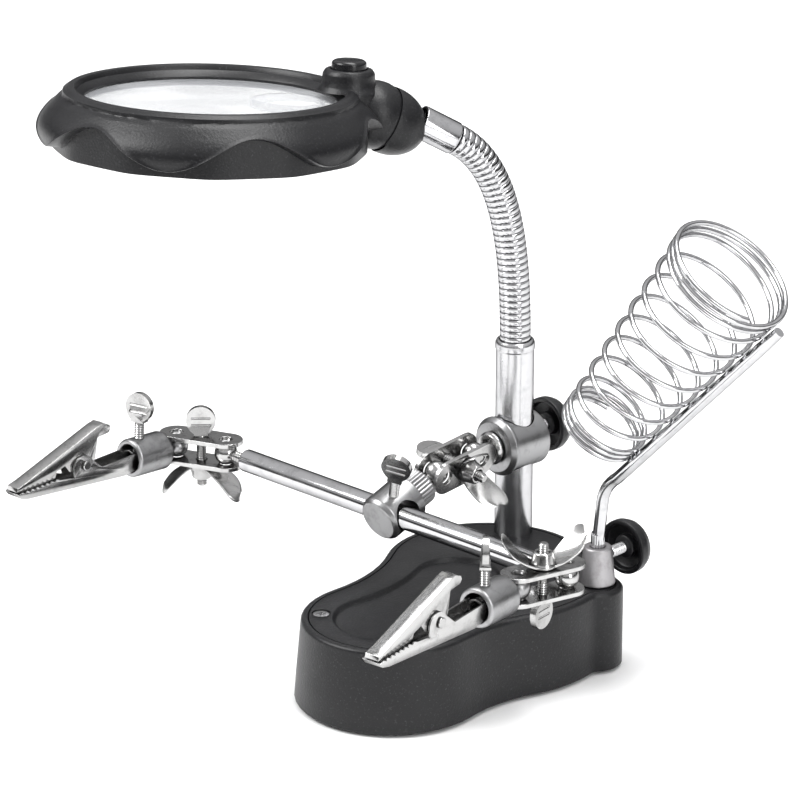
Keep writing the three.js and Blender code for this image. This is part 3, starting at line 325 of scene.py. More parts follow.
# Pale painted tones for the lenses are painted reflection; the small lens's darker tones are painted shade
# that sets it apart from the main lens.
lens_glass = lens_material("polished lens", (0.5, 0.51, 0.53), (0.66, 0.67, 0.69))
insert_glass = lens_material("polished insert", (0.36, 0.37, 0.39), (0.6, 0.61, 0.63))

# -------------------- making pieces (millimetres until placed)


def heading(azimuth, elevation=0):
    a, e = radians(azimuth), radians(elevation)
    return Vector((cos(a) * cos(e), sin(a) * cos(e), sin(e)))


def framed(origin, azimuth, elevation=0, roll=0):
    """A place whose X axis points along a heading, with Z as upright as it can be, rolled about X."""
    x = heading(azimuth, elevation)
    y = Vector((0, 0, 1)).cross(x).normalized()
    z = x.cross(y)
    turn = Matrix((x, y, z)).transposed().to_4x4()
    return Matrix.Translation(origin) @ turn @ Matrix.Rotation(radians(roll), 4, "X")


def shift(x, y, z):
    return Matrix.Translation((x, y, z))


def spin_about(axis, degrees):
    return Matrix.Rotation(radians(degrees), 4, axis)


UPRIGHT = Matrix.Identity(4)
ALONG_X = Matrix.Rotation(radians(90), 4, "Y")  # turns local Z to local X
ALONG_Y = Matrix.Rotation(radians(-90), 4, "X")  # turns local Z to local Y


def line_of(bm, points):
    """Vertices in a row, with the edges between them."""
    verts = [bm.verts.new(p) for p in points]
    edges = [bm.edges.new(pair) for pair in zip(verts, verts[1:])]
    return verts, edges


def tidy(bm):
    """Merges doubled vertices and turns every face outwards."""
    bmesh.ops.remove_doubles(bm, verts=bm.verts, dist=1e-4)
    bmesh.ops.recalc_face_normals(bm, faces=bm.faces)
    return bm


def lathe(profile, steps, closed=False):
    """A turned body about Z from (radius, height) pairs."""
    bm = bmesh.new()
    verts, edges = line_of(bm, [(r, 0, z) for r, z in profile])
    if closed:
        edges.append(bm.edges.new((verts[-1], verts[0])))
    bmesh.ops.spin(bm, geom=verts + edges, cent=(0, 0, 0), axis=(0, 0, 1),
                   angle=2 * pi, steps=steps, use_merge=True)
    return tidy(bm)


CORNER_STEPS = 4


def rounded(profile, radius):
    """The same turned profile with every corner between its two ends rounded off."""
    out = [Vector(profile[0])]
    for before, here, after in zip(profile, profile[1:], profile[2:]):
        before, here, after = Vector(before), Vector(here), Vector(after)
        reach = min(radius, (before - here).length * 0.45, (after - here).length * 0.45)
        start = here + (before - here).normalized() * reach
        stop = here + (after - here).normalized() * reach
        for i in range(CORNER_STEPS + 1):
            t = i / CORNER_STEPS
            out.append(start.lerp(here, t).lerp(here.lerp(stop, t), t))
    out.append(Vector(profile[-1]))
    return [tuple(p) for p in out]


def ball(radius, sides, centre=(0, 0, 0)):
    bm = bmesh.new()
    bmesh.ops.create_uvsphere(bm, u_segments=sides, v_segments=sides // 2, radius=radius,
                              matrix=Matrix.Translation(centre))
    return bm


def moved(bm, matrix):
    bmesh.ops.transform(bm, matrix=matrix, verts=bm.verts)
    return bm


def together(*parts):
    """Several bodies in one piece."""
    whole = bmesh.new()
    for part in parts:
        scratch = bpy.data.meshes.new("scratch")
        part.to_mesh(scratch)
        whole.from_mesh(scratch)
        bpy.data.meshes.remove(scratch)
        part.free()
    return whole


def flat_plate(outline, holes, z0, z1):
    """A plate from an outline and round holes, both given as lists of points."""
    bm = bmesh.new()
    edges = []
    for loop in [outline, *holes]:
        verts = [bm.verts.new((x, y, z0)) for x, y in loop]
        edges += [bm.edges.new(pair) for pair in zip(verts, verts[1:] + verts[:1])]
    filled = bmesh.ops.triangle_fill(bm, use_beauty=True, use_dissolve=True, edges=edges)
    faces = [g for g in filled["geom"] if isinstance(g, bmesh.types.BMFace)]
    raised = bmesh.ops.extrude_face_region(bm, geom=faces, use_keep_orig=True)
    lifted = [g for g in raised["geom"] if isinstance(g, bmesh.types.BMVert)]
    bmesh.ops.translate(bm, vec=(0, 0, z1 - z0), verts=lifted)
    return tidy(bm)


def circle(radius, x=0, y=0, sides=32, start=0, sweep=360):
    """Points on an arc; a full circle doesn't repeat its first point."""
    count = sides if sweep == 360 else sides + 1
    angles = [radians(start + sweep * i / sides) for i in range(count)]
    return [(x + radius * cos(a), y + radius * sin(a)) for a in angles]


def object_from(name, bm):
    mesh = bpy.data.meshes.new(name)
    bm.to_mesh(mesh)
    bm.free()
    made = bpy.data.objects.new(name, mesh)
    bpy.context.scene.collection.objects.link(made)
    return made


def apply_modifiers(made):
    """Applies every modifier of an object to its mesh."""
    graph = bpy.context.evaluated_depsgraph_get()
    mesh = bpy.data.meshes.new_from_object(made.evaluated_get(graph))
    made.modifiers.clear()
    made.data = mesh


def fluted(bm, beyond, count, depth, sharpness, below=inf):
    """Presses even flutes into the outer wall of a turned body, all along it or below a height."""
    for vert in bm.verts:
        if vert.co.z < below and hypot(vert.co.x, vert.co.y) > beyond:
            wave = 0.5 + 0.5 * cos(count * atan2(vert.co.y, vert.co.x))
            pull = 1 - depth * wave ** sharpness
            vert.co.x *= pull
            vert.co.y *= pull
    return bm


def drilled(bm, *cutters):
    """Takes cutters out of a body."""
    body = object_from("body", bm)
    tools = [object_from("cutter", cutter) for cutter in cutters]
    for tool in tools:
        cut = body.modifiers.new("cut", "BOOLEAN")
        cut.operation = "DIFFERENCE"
        cut.solver = "EXACT"
        cut.object = tool
    apply_modifiers(body)
    out = bmesh.new()
    out.from_mesh(body.data)
    for scrap in [body, *tools]:
        bpy.data.objects.remove(scrap)
    return out


def place(name, bm, matrix, material, body, nodes, slot, edge, smooth=38, segments=2):
    """Puts a piece in place in metres, rounds its edges and gives it its body and finish."""
    bmesh.ops.transform(bm, matrix=Matrix.Scale(MM, 4) @ matrix, verts=bm.verts)
    made = object_from(name.replace(" ", "-"), bm)
    for polygon in made.data.polygons:
        polygon.use_smooth = True
    made.data.materials.append(material)
    if edge:
        soft = made.modifiers.new("soft edges", "BEVEL")
        soft.width = edge * MM
        soft.segments = segments
        soft.limit_method = "ANGLE"
        soft.angle_limit = radians(smooth)
        soft.harden_normals = True
        soft.miter_outer = "MITER_ARC"
    else:
        made.data.set_sharp_from_angle(angle=radians(smooth))
    if body:
        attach(made, body)
    if nodes:
        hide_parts(*nodes)
    return made


def swept(points, radii, sides):
    """A round body along a path, ring by ring, with its own radius at each point."""
    points = [Vector(p) for p in points]
    bm = bmesh.new()
    last = None
    turn = None
    for i, point in enumerate(points):
        ahead = points[min(i + 1, len(points) - 1)] - points[max(i - 1, 0)]
        ahead.normalize()
        if turn is None:
            turn = ahead.to_track_quat("Z", "Y")
        else:
            turn = (turn @ Vector((0, 0, 1))).rotation_difference(ahead) @ turn
        here = Matrix.Translation(point) @ turn.to_matrix().to_4x4() @ Matrix.Scale(radii[i], 4)
        if last is None:
            bmesh.ops.create_circle(bm, cap_ends=True, radius=1, segments=sides, matrix=here)
            edges = bm.edges[:]
        else:
            made = bmesh.ops.extrude_edge_only(bm, edges=edges)["geom"]
            verts = [g for g in made if isinstance(g, bmesh.types.BMVert)]
            edges = [g for g in made if isinstance(g, bmesh.types.BMEdge)
                     and g.verts[0] in verts and g.verts[1] in verts]
            bmesh.ops.transform(bm, matrix=here @ last.inverted(), verts=verts)
        last = here
    bmesh.ops.edgeloop_fill(bm, edges=edges)
    return tidy(bm)


def bezier(a, b, c, d, t):
    """The point at share t of a curve with two ends and two handles."""
    s = 1 - t
    return a * s ** 3 + b * 3 * s * s * t + c * 3 * s * t * t + d * t ** 3


FINE_STEPS = 600


def even_points(curve, count):
    """Points at even distances along a curve given as a function of 0 to 1."""
    fine_points = [curve(i / FINE_STEPS) for i in range(FINE_STEPS + 1)]
    lengths = [0.0]
    for before, here in zip(fine_points, fine_points[1:]):
        lengths.append(lengths[-1] + (here - before).length)
    out = []
    j = 0
    for i in range(count):
        want = lengths[-1] * i / (count - 1)
        while j < FINE_STEPS - 1 and lengths[j + 1] < want:
            j += 1
        step = lengths[j + 1] - lengths[j]
        out.append(fine_points[j].lerp(fine_points[j + 1], (want - lengths[j]) / step))
    return out


# -------------------- base

BASE_TOP = 31
FOOT = 1.2
# Each lobe: centre x and y, radius at the foot, radius at the top, radius of the hollow after it.
LOBES = ((8.2, -88.6, 33.8, 31.4, 55), (2.4, -34, 53.9, 53.6, 4),
         (50.7, -24.2, 10, 10, 500), (7.9, -28.3, 37, 36.8, 60))
TRAY_LOBES = ((8.2, -90, 19.5, 19.5, 34), (6, -45, 15.5, 15.5, 60))
LOBE_STEPS = 22
HOLLOW_STEPS = 7
RIM_ROUND = 1.6  # radius of the shell's upper edge
LEDGE = 2.6  # how far in and down the cover's ledge lies


def touching_centre(a, b, reach_a, reach_b):
    """Centre of the hollow curve that touches two lobes from outside."""
    a, b = Vector(a), Vector(b)
    span = (b - a).length
    along = (span ** 2 + reach_a ** 2 - reach_b ** 2) / (2 * span)
    off = sqrt(reach_a ** 2 - along ** 2)
    ahead = (b - a) / span
    return a + ahead * along + Vector((ahead.y, -ahead.x)) * off


def outline_ring(bm, lobes, inset, share, z):
    """One closed loop of edges round the lobes, made by turning a vertex about each centre."""
    radii = [foot + (top - foot) * share - inset for _, _, foot, top, _ in lobes]
    count = len(lobes)
    hollows = []
    for i, (x, y, _, _, hollow) in enumerate(lobes):
        nxt = lobes[(i + 1) % count]
        reach = hollow + inset
        hollows.append(touching_centre((x, y), nxt[:2], radii[i] + reach, radii[(i + 1) % count] + reach))
    arcs = []
    for i, lobe in enumerate(lobes):
        centre = Vector(lobe[:2])
        begin = hollows[i - 1] - centre
        end = hollows[i] - centre
        sweep = (atan2(end.y, end.x) - atan2(begin.y, begin.x)) % (2 * pi)
        arcs.append((centre, sweep, LOBE_STEPS))
        back = centre - hollows[i]
        on = Vector(lobes[(i + 1) % count][:2]) - hollows[i]
        bend = (atan2(back.y, back.x) - atan2(on.y, on.x)) % (2 * pi)
        arcs.append((hollows[i], -bend, HOLLOW_STEPS))
    centre = Vector(lobes[0][:2])
    start = centre + (hollows[-1] - centre).normalized() * radii[0]
    first = bm.verts.new((start.x, start.y, z))
    vert = first
    for middle, sweep, parts in arcs:
        made = bmesh.ops.spin(bm, geom=[vert], cent=(middle.x, middle.y, z), axis=(0, 0, 1),
                              angle=sweep, steps=parts, use_duplicate=False)
        vert = made["geom_last"][0]
    bmesh.ops.weld_verts(bm, targetmap={vert: first})
    return first


def loop_edges(first):
    """Every edge joined to a vertex through plain edges, in an order that never varies."""
    seen, todo, edges = {first}, [first], {}
    while todo:
        for edge in todo.pop().link_edges:
            edges[edge] = True
            for vert in edge.verts:
                if vert not in seen:
                    seen.add(vert)
                    todo.append(vert)
    return list(edges)


def bridged(bm, loops):
    """Joins each loop of edges to the next one."""
    for lower, upper in zip(loops, loops[1:]):
        bmesh.ops.bridge_loops(bm, edges=lower + upper)
    return loops


def stacked(bm, lobes, rings):
    """Outline rings, each an inset, a share from foot to top and a height, joined in turn."""
    return bridged(bm, [loop_edges(outline_ring(bm, lobes, *ring)) for ring in rings])


def base_shell():
    rim = [(RIM_ROUND * (1 - cos(a)), 1, BASE_TOP - RIM_ROUND + RIM_ROUND * sin(a))
           for a in [radians(15 * i) for i in range(7)]]
    rings = [(1.9, 0, FOOT), (0.5, 0, FOOT), (0.1, 0.01, FOOT + 0.2), (0, 0.03, FOOT + 0.6),
             (0, 0.35, 12), (0, 0.7, 21), *rim,
             (LEDGE, 1, BASE_TOP), (LEDGE, 1, BASE_TOP - LEDGE), (6, 1, BASE_TOP - LEDGE),
             (3.4, 0, 3.1), (1.9, 0, 3.1)]
    bm = bmesh.new()
    loops = stacked(bm, LOBES, rings)
    bmesh.ops.bridge_loops(bm, edges=loops[-1] + loops[0])
    place("base shell", tidy(bm), UPRIGHT, black_plastic, "base", ["base_shell"], "black_plastic", 0.25)


COVER_SCREW = (-13.1, -100.4)


def base_cover():
    bm = bmesh.new()
    wall = stacked(bm, LOBES, [(2.9, 1, 28.6), (2.9, 1, 30.6), (3.0, 1, 30.88), (3.3, 1, 31)])
    tray = stacked(bm, TRAY_LOBES, [(-0.3, 0, 31), (0.1, 0, 30.85), (0.4, 0, 30.5), (0.9, 0, 29.75),
                                    (1.2, 0, 29.5), (1.7, 0, 29.4)])
    pocket = []
    for radius, z in ((3.5, 31), (3.25, 30.85), (3.2, 30.1), (1.8, 29.2), (1.6, 29.0)):
        made = bmesh.ops.create_circle(bm, radius=radius, segments=40, matrix=shift(*COVER_SCREW, z))
        pocket.append(loop_edges(made["verts"][0]))
    bridged(bm, pocket)
    for edges in (wall[-1] + tray[0] + pocket[0], pocket[-1], wall[0], tray[-1]):
        bmesh.ops.triangle_fill(bm, use_beauty=True, edges=edges)
    place("base cover", tidy(bm), UPRIGHT, black_plastic, "base", ["base_cover"], "black_plastic", 0)


def cover_screw():
    profile = [(0, -0.35), (1.1, -0.35), (1.2, 0), (2.3, 0.55), (2.9, 0.6), (2.9, 0.9), (0, 1.0)]
    head = lathe(rounded(profile, 0.15), 40)
    slots = []
    for angle in (0, 90):
        slot = bmesh.new()
        size = Matrix.Diagonal((3.4, 0.62, 1.4, 1))
        bmesh.ops.create_cube(slot, size=1, matrix=spin_about("Z", angle) @ size)
        slots.append(moved(slot, shift(0, 0, 1.0)))
    at = shift(*COVER_SCREW, BASE_TOP - 1.35) @ spin_about("Z", 30)
    place("cover screw", drilled(head, *slots), at, steel, "base", ["cover_screw"], "bright_steel", 0.05)


FEET = ((0, 0), (-20, -34), (46, -26), (8, -110))


def rubber_feet():
    for i, (x, y) in enumerate(FEET):
        pad = lathe(rounded([(0, 0), (5, 0), (5, 1.7), (0, 1.7)], 0.5), 48)
        place(f"rubber foot {i + 1}", pad, shift(x, y, 0), black_rubber, "base",
              [f"rubber_foot_{i + 1}"], "black_rubber", 0)


base_shell()
base_cover()
cover_screw()
rubber_feet()

# -------------------- post and gooseneck

NECK_AZIMUTH = 230.4
NECK = framed((0, 0, 0), NECK_AZIMUTH)
NECK_FOOT, NECK_LOW, NECK_HIGH, NECK_END = (0, 0, 104.5), (0, 0, 150), (7, 0, 172.2), (22.6, 0, 181.2)
NECK_CURVE = [NECK @ Vector(p) for p in (NECK_FOOT, NECK_LOW, NECK_HIGH, NECK_END)]
NECK_SLOPE = degrees(atan2(NECK_END[2] - NECK_HIGH[2], NECK_END[0] - NECK_HIGH[0]))
NECK_TIP = NECK @ framed(NECK_END, 0, NECK_SLOPE)
NECK_POINTS = 400


def post_tube():
    profile = rounded([(5.9, 12), (6.9, 12), (6.9, 101.4), (7.2, 101.8), (7.2, 104.0), (6.6, 105.1),
                       (5.9, 105.2)], 0.5)
    place("post tube", lathe(profile, 80, closed=True), UPRIGHT, brushed_chrome, "base", ["post_tube"],
          "chrome_plate", 0)


def goose_length(name, start, stop, ribs, nodes):
    """A ribbed length of the gooseneck between two shares of its curve."""
    rib = ((0, 4.95), (0.05, 5.25), (0.11, 5.5), (0.2, 5.58), (0.5, 5.6), (0.8, 5.58), (0.89, 5.5),
           (0.95, 5.25))
    whole = even_points(lambda t: bezier(*NECK_CURVE, t), NECK_POINTS)
    last = NECK_POINTS - 1
    points, radii = [], []
    for i in range(ribs):
        for share, radius in rib:
            along = (start + (stop - start) * (i + share) / ribs) * last
            low = min(int(along), last - 1)
            points.append(whole[low].lerp(whole[low + 1], along - low))
            radii.append(radius)
    points.append(whole[int(round(stop * last))])
    radii.append(4.7)
    made = place(name, swept(points, radii, 40), UPRIGHT, chrome, None, nodes, "chrome_plate", 0, 60)
    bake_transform(made)


def neck_ferrule():
    profile = rounded([(4.9, 0.4), (5.6, 0.4), (5.9, 0.9), (5.9, 15), (4.9, 15)], 0.3)
    place("neck ferrule", lathe(profile, 64, closed=True), NECK_TIP @ ALONG_X, chrome, "gooseneck_end",
          ["neck_ferrule"], "chrome_plate", 0)


post_tube()
goose_length("gooseneck_lower", 0, 0.5, 18, ["gooseneck_1", "gooseneck_2"])
goose_length("gooseneck_upper", 0.5, 1, 18, ["gooseneck_3"])
neck_ferrule()

# -------------------- magnifier head

HEAD = framed(heading(NECK_AZIMUTH) * 109.6 + Vector((0, 0, 205.4)), 50.4, -3.3, -5)
SKIRT = 20  # depth of the skirt below the rim
BULGE = 13  # depth at which the skirt is widest
FACETS = 6
FACET_TURN = -27.3
SKIRT_ROWS = 40
LINE_FIRST, LINE_LAST = 18, 28  # the rows that follow the wave line closely
ROW_STEP = 0.5  # distance between the rows while the skirt is being turned
WALL_INSIDE = 49.7  # vertices beyond this radius belong to the skirt's outer face
SWITCH_X = 48.6
ARM_CENTRE = (58, 0, -9.5)


def dome_radius(depth):
    """Radius of the bulging skirt at a depth below the rim."""
    t = min(max(depth, 0) / BULGE, 1)
    lower = max(depth - BULGE, 0) / (SKIRT - BULGE)
    return 50.4 + 8.6 * sin(t * pi / 2) ** 1.4 - 3.6 * lower * lower


def smooth_step(value, low, high):
    """Eases from 0 to 1 as a value passes from low to high."""
    t = min(max((value - low) / (high - low), 0), 1)
    return t * t * (3 - 2 * t)


def wave_depth(angle):
    """Depth of the wave line that parts the lobes from the facets."""
    return 12 - 5.6 * cos(FACETS * (angle - radians(FACET_TURN)))


def skirt_radius(angle, depth):
    """Proud lobes above a wave line, flat facets below it, with a soft step between."""
    dome = dome_radius(depth)
    pitch = pi / FACETS
    turned = angle - radians(FACET_TURN)
    local = turned - round(turned / pitch) * pitch
    facet = 53.2 / cos(local) - 0.9 * (local / (pitch / 2)) ** 4
    wave = wave_depth(angle)
    below = smooth_step(depth, wave - 0.35, wave + 0.55)
    return dome + (min(facet, dome) - dome) * below


def row_depth(row, angle):
    """Depth of one of the skirt's rows at an angle round it."""
    wave = wave_depth(angle)
    if row < LINE_FIRST:
        return 0.5 + (wave - 1.1) * row / LINE_FIRST
    if row < LINE_LAST:
        return wave - 0.6 + 0.165 * (row - LINE_FIRST)
    return wave + 1.05 + (SKIRT - wave - 1.05) * (row - LINE_LAST) / (SKIRT_ROWS - 1 - LINE_LAST)


def head_shell():
    """The skirt with its lobes, facets, bead and groove, and the seat for the lens inside it."""
    depths = [ROW_STEP + i * ROW_STEP for i in range(SKIRT_ROWS)]
    outer = [(dome_radius(d), -d) for d in depths]
    inner = [(47.6, -8.2), (45.3, -8.2), (45.3, -3.95), (43.6, -3.95), (43.6, -3.2), (44.4, -2.2),
             (45.9, -1.1), (46.3, 0.1), (46.7, 0.6), (47.4, 0.8), (48.2, 0.8), (49.0, 0.6), (49.5, 0.1)]
    bm = lathe(outer + inner, 288, closed=True)
    for vert in bm.verts:
        radius = hypot(vert.co.x, vert.co.y)
        if radius > WALL_INSIDE:
            angle = atan2(vert.co.y, vert.co.x)
            depth = row_depth(round((-vert.co.z - ROW_STEP) / ROW_STEP), angle)
            relief = 0.5 * exp(-((depth - wave_depth(angle) + 0.4) / 0.38) ** 2)
            relief -= 0.7 * exp(-((depth - 1.9) / 0.7) ** 2)
            wanted = skirt_radius(angle, depth) + relief
            vert.co = (vert.co.x * wanted / radius, vert.co.y * wanted / radius, -depth)
    return bm


def neck_arm():
    """The round end that the neck's shell fits round."""
    return ball(12, 80, ARM_CENTRE)


def switch_boss():
    """The stepped boss round the switch."""
    profile = rounded([(0, -8), (11.2, -8), (11.0, -1.0), (9.7, 1.0), (9.2, 3.0), (9.1, 5.2), (8.1, 6.7),
                       (6.7, 6.9), (6.35, 6.4), (6.35, 1.5), (0, 1.5)], 0.5)
    return moved(lathe(profile, 96), shift(SWITCH_X, 0, 0))


def head_housing():
    """The skirt with its arm and boss, each drilled to leave the lens its room."""
    joined = [drilled(body, lathe([(0, -30), (47.6, -30), (47.6, -0.6), (0, -0.6)], 160))
              for body in (neck_arm(), switch_boss())]
    place("head housing", together(head_shell(), *joined), HEAD, black_plastic, "head", ["head_housing"],
          "black_plastic", 0, 32)


def switch_button():
    profile = rounded([(0, 3.2), (6.1, 3.2), (6.1, 9.0), (5.2, 9.8), (0, 9.9)], 0.6)
    place("switch button", lathe(profile, 64), HEAD @ shift(SWITCH_X, 0, 0), black_gloss, "switch",
          ["switch_button"], "black_gloss", 0)


LENS_STEPS = 14
LENS_Z = -5
INSERT_X = 27  # the small lens's centre from the main lens's


def lens_profile(radius, edge, bulge):
    """Half the section of a lens that bulges on both sides, with the thickness of its edge."""
    shares = [i / LENS_STEPS for i in range(LENS_STEPS + 1)]
    half = [(radius * i / LENS_STEPS, edge / 2 + bulge * (1 - share ** 2)) for i, share in enumerate(shares)]
    return [(r, -z) for r, z in half] + half[::-1]


def lenses():
    hole = lathe([(0, -9), (12.9, -9), (12.9, 9), (0, 9)], 72)
    main = drilled(lathe(lens_profile(45, 1.6, 1.5), 160), moved(hole, shift(INSERT_X, 0, 0)))
    place("main lens", main, HEAD @ shift(0, 0, LENS_Z), lens_glass, "head", ["main_lens"], "lens_glass",
          0, 30)
    place("small lens", lathe(lens_profile(12.4, 2.6, 1.6), 96), HEAD @ shift(INSERT_X, 0, LENS_Z),
          insert_glass, "head", ["small_lens"], "lens_glass", 0, 30)


def lamp_ring():
    """The ring that carries the lamps, the lamps, and the pale lining inside the skirt."""
    low = -14
    section = [(43.4, -6.4), (44.8, -6.4), (44.8, -8.6), (46.6, -9.4), (46.6, low), (43.4, low), (43.4, -6.4)]
    ring = lathe(rounded(section, 0.25), 160)
    bead = [(0, low + 0.5), (1.8, low + 0.5), (1.8, low - 0.4), (1.3, low - 1.5), (0, low - 1.6)]
    lamps = []
    for angle in (-24, -8, 8, 24):
        lamps.append(moved(lathe(rounded(bead, 0.5), 24), spin_about("Z", angle) @ shift(45, 0, 0)))
    section = [(46.7, -9.6), (47.3, -9.2), (50.6, -19.4), (50.0, -19.6), (46.7, -9.6)]
    lining = lathe(rounded(section, 0.1), 160)
    place("lamp ring", together(ring, lining, *lamps), HEAD, white_ring, "head", ["led_ring"],
          "white_ring", 0)


def neck_shell():
    """The rounded shell that grips the ferrule and carries the arm, hollowed so that the head can tilt."""
    egg = ball(1, 96)
    size = Matrix.Diagonal((14.4, 11.9, 11.8, 1))
    moved(egg, NECK @ shift(47.2, 0, 190) @ spin_about("Y", -NECK_SLOPE) @ size)
    skirt_room = [(dome_radius(d) + 1, -d) for d in (1, 4, 7, 10, 13, 17, 20)]
    head_room = [(0, 6), (50.6, 6)] + skirt_room + [(50, -23), (0, -23)]
    rooms = []
    for tilt in (0, -11, -22):
        about_pivot = shift(*ARM_CENTRE) @ spin_about("Y", tilt) @ shift(*[-c for c in ARM_CENTRE])
        rooms.append(moved(lathe(head_room, 120), HEAD @ about_pivot))
    arm_room = moved(ball(12.35, 80, ARM_CENTRE), HEAD)
    switch_room = moved(lathe([(0, -9), (10.2, -9), (10.2, 12), (0, 12)], 64), HEAD @ shift(SWITCH_X, 0, 0))
    socket = moved(lathe([(0, -1), (6.2, -1), (6.2, 16), (0, 16)], 64), NECK_TIP @ ALONG_X)
    place("neck shell", drilled(egg, *rooms, arm_room, switch_room, socket), UPRIGHT, black_plastic,
          "gooseneck_end", ["neck_shell"], "black_plastic", 0.25, 32)


head_housing()
switch_button()
lenses()
lamp_ring()
neck_shell()

# -------------------- screws, nuts, knobs and ball joints


PITCH = 0.85
SPADE_RADIUS = 5.4
BALL_RADIUS = 4.3
BALL_SPACING = 20  # between the two balls of a joint
PLATE_FACE = 3.8  # the plates' inner faces, from the middle of the balls
PLATE_THICK = 1.6
PLATE_HALF_WIDTH = 6.2


def thread(radius, z0, z1):
    """A turned profile, upwards, with a ridge at each turn of a thread."""
    count = max(1, int((z1 - z0) / PITCH))
    step = (z1 - z0) / count
    out = []
    for i in range(count):
        out += [(radius - 0.28, z0 + i * step), (radius, z0 + (i + 0.5) * step)]
    out.append((radius - 0.28, z1))
    return out


def spade_screw(tip, seat, head_at):
    """A thumb screw: threaded shank, and a flat round head with two shallow grooves on each face."""
    shank = lathe([(0, tip), (1.3, tip)] + thread(1.85, tip + 0.3, seat - 0.2)
                  + [(1.6, seat + 1.5), (0, seat + 1.5)], 28)
    rim = circle(SPADE_RADIUS, 0, head_at, 48, -62, 304)
    outline = rim + [(-2.55, seat + 0.5), (-2.6, seat), (2.6, seat), (2.55, seat + 0.5)]
    head = flat_plate(outline, [], -1.1, 1.1)
    for vert in head.verts:
        vert.co.z *= 1 + 0.75 * smooth_step(head_at - vert.co.y, 2, head_at - seat - 0.5)
    moved(head, spin_about("Z", 90) @ spin_about("X", 90))
    grooves = []
    for side in (-1, 1):
        for up in (-1.7, 0.9):
            groove = lathe([(0, -3.7), (0.55, -3.5), (0.55, 3.5), (0, 3.7)], 16)
            grooves.append(moved(groove, shift(side * 1.42, 0, head_at + up) @ ALONG_Y))
    return together(shank, drilled(head, *grooves))


def wing(hand):
    """One curved paddle of a wing nut, rising outwards along X and twisted to one hand."""
    bm = bmesh.new()
    bmesh.ops.create_grid(bm, x_segments=14, y_segments=10, size=1)
    for vert in bm.verts:
        u, v = (vert.co.x + 1) / 2, vert.co.y
        reach = 2.4 + 12.8 * u
        half = (4.0 + 1.3 * u) * sqrt(max(0.03, 1 - max(0, (u - 0.68) / 0.34) ** 2))
        rise = 0.9 + 9.6 * u ** 1.35
        twist = hand * 0.75 * u
        cup = (0.5 + 0.9 * u) * v * v
        vert.co = (reach, half * v * cos(twist), rise + half * v * sin(twist) + cup)
    bmesh.ops.solidify(bm, geom=bm.faces[:], thickness=1.1)
    bmesh.ops.smooth_vert(bm, verts=bm.verts, factor=0.4,
                          use_axis_x=True, use_axis_y=True, use_axis_z=True)
    return tidy(bm)


def wing_nut():
    hub = rounded([(2.15, 0), (4.6, 0), (4.6, 0.8), (4.2, 1.6), (3.5, 5.0), (3.1, 5.4), (2.15, 5.4),
                   (2.15, 0)], 0.35)
    wings = [moved(wing(hand), spin_about("Z", turn)) for turn, hand in ((0, -1), (180, 1))]
    return together(lathe(hub, 48), *wings)


def dish_knob(tip, rim):
    """A dished knob on its screw, about X: the open side faces the piece that it clamps."""
    shank = [(0, tip), (1.7, tip)] + thread(2.1, tip + 0.3, rim - 0.2)
    dish = rounded([(2.1, rim), (4.2, rim + 0.4), (4.4, rim + 3), (8.0, rim + 1.4), (8.4, rim - 0.6),
                    (10, rim - 0.6), (10, rim + 2.2), (9, rim + 4.6), (6, rim + 6), (0, rim + 6.6)], 0.5)
    screw = moved(lathe(shank + [(1.8, rim + 0.1), (0, rim + 0.1)], 32), ALONG_X)
    body = moved(lathe([(0, rim)] + dish, 120), ALONG_X)
    return screw, body


def joint_plate():
    """A plate with round ends, a hole over each ball and one for the screw between them."""
    outline = (circle(PLATE_HALF_WIDTH, 0, 0, 36, 90, 180)
               + circle(PLATE_HALF_WIDTH, BALL_SPACING, 0, 36, -90, 180))
    holes = [circle(2.4), circle(2.15, BALL_SPACING / 2), circle(2.4, BALL_SPACING)]
    return flat_plate(outline, holes, 0, PLATE_THICK)


def ball_joint(prefix, where, nut_up, nut_spin, head_spin):
    """Two plates, a thumb screw and a wing nut at a joint's place."""
    body = f"{prefix}_joint"
    for name, z in (("upper", PLATE_FACE), ("lower", -PLATE_FACE - PLATE_THICK)):
        place(f"{prefix}_{name}_joint_plate", joint_plate(), where @ shift(0, 0, z), nickel, body,
              [f"{prefix}_{name}_plate"], "nickel_plate", 0.38, 38, 3)
    across = where @ shift(BALL_SPACING / 2, 0, 0) @ spin_about("X", 180 if nut_up else 0)
    seat = PLATE_FACE + PLATE_THICK + 0.3
    place(f"{prefix}_thumb_screw", spade_screw(-seat - 8.4, seat, seat + 5.6),
          across @ spin_about("Z", head_spin), nickel, body, [f"{prefix}_screw"], "nickel_plate", 0.3, 42, 3)
    under = across @ shift(0, 0, -seat) @ spin_about("Z", nut_spin) @ spin_about("X", 180)
    place(f"{prefix}_winged_nut", wing_nut(), under, nickel, f"{prefix}_wing_nut_body",
          [f"{prefix}_wing_nut"], "nickel_plate", 0.3, 50, 2)


def ball_stud(neck_end):
    """A ball at the origin with its threaded neck along X."""
    neck = [(0, 0), (1.9, 1)] + thread(2.0, 4.6, neck_end) + [(0, neck_end)]
    return together(ball(BALL_RADIUS, 48), moved(lathe(neck, 28), ALONG_X))


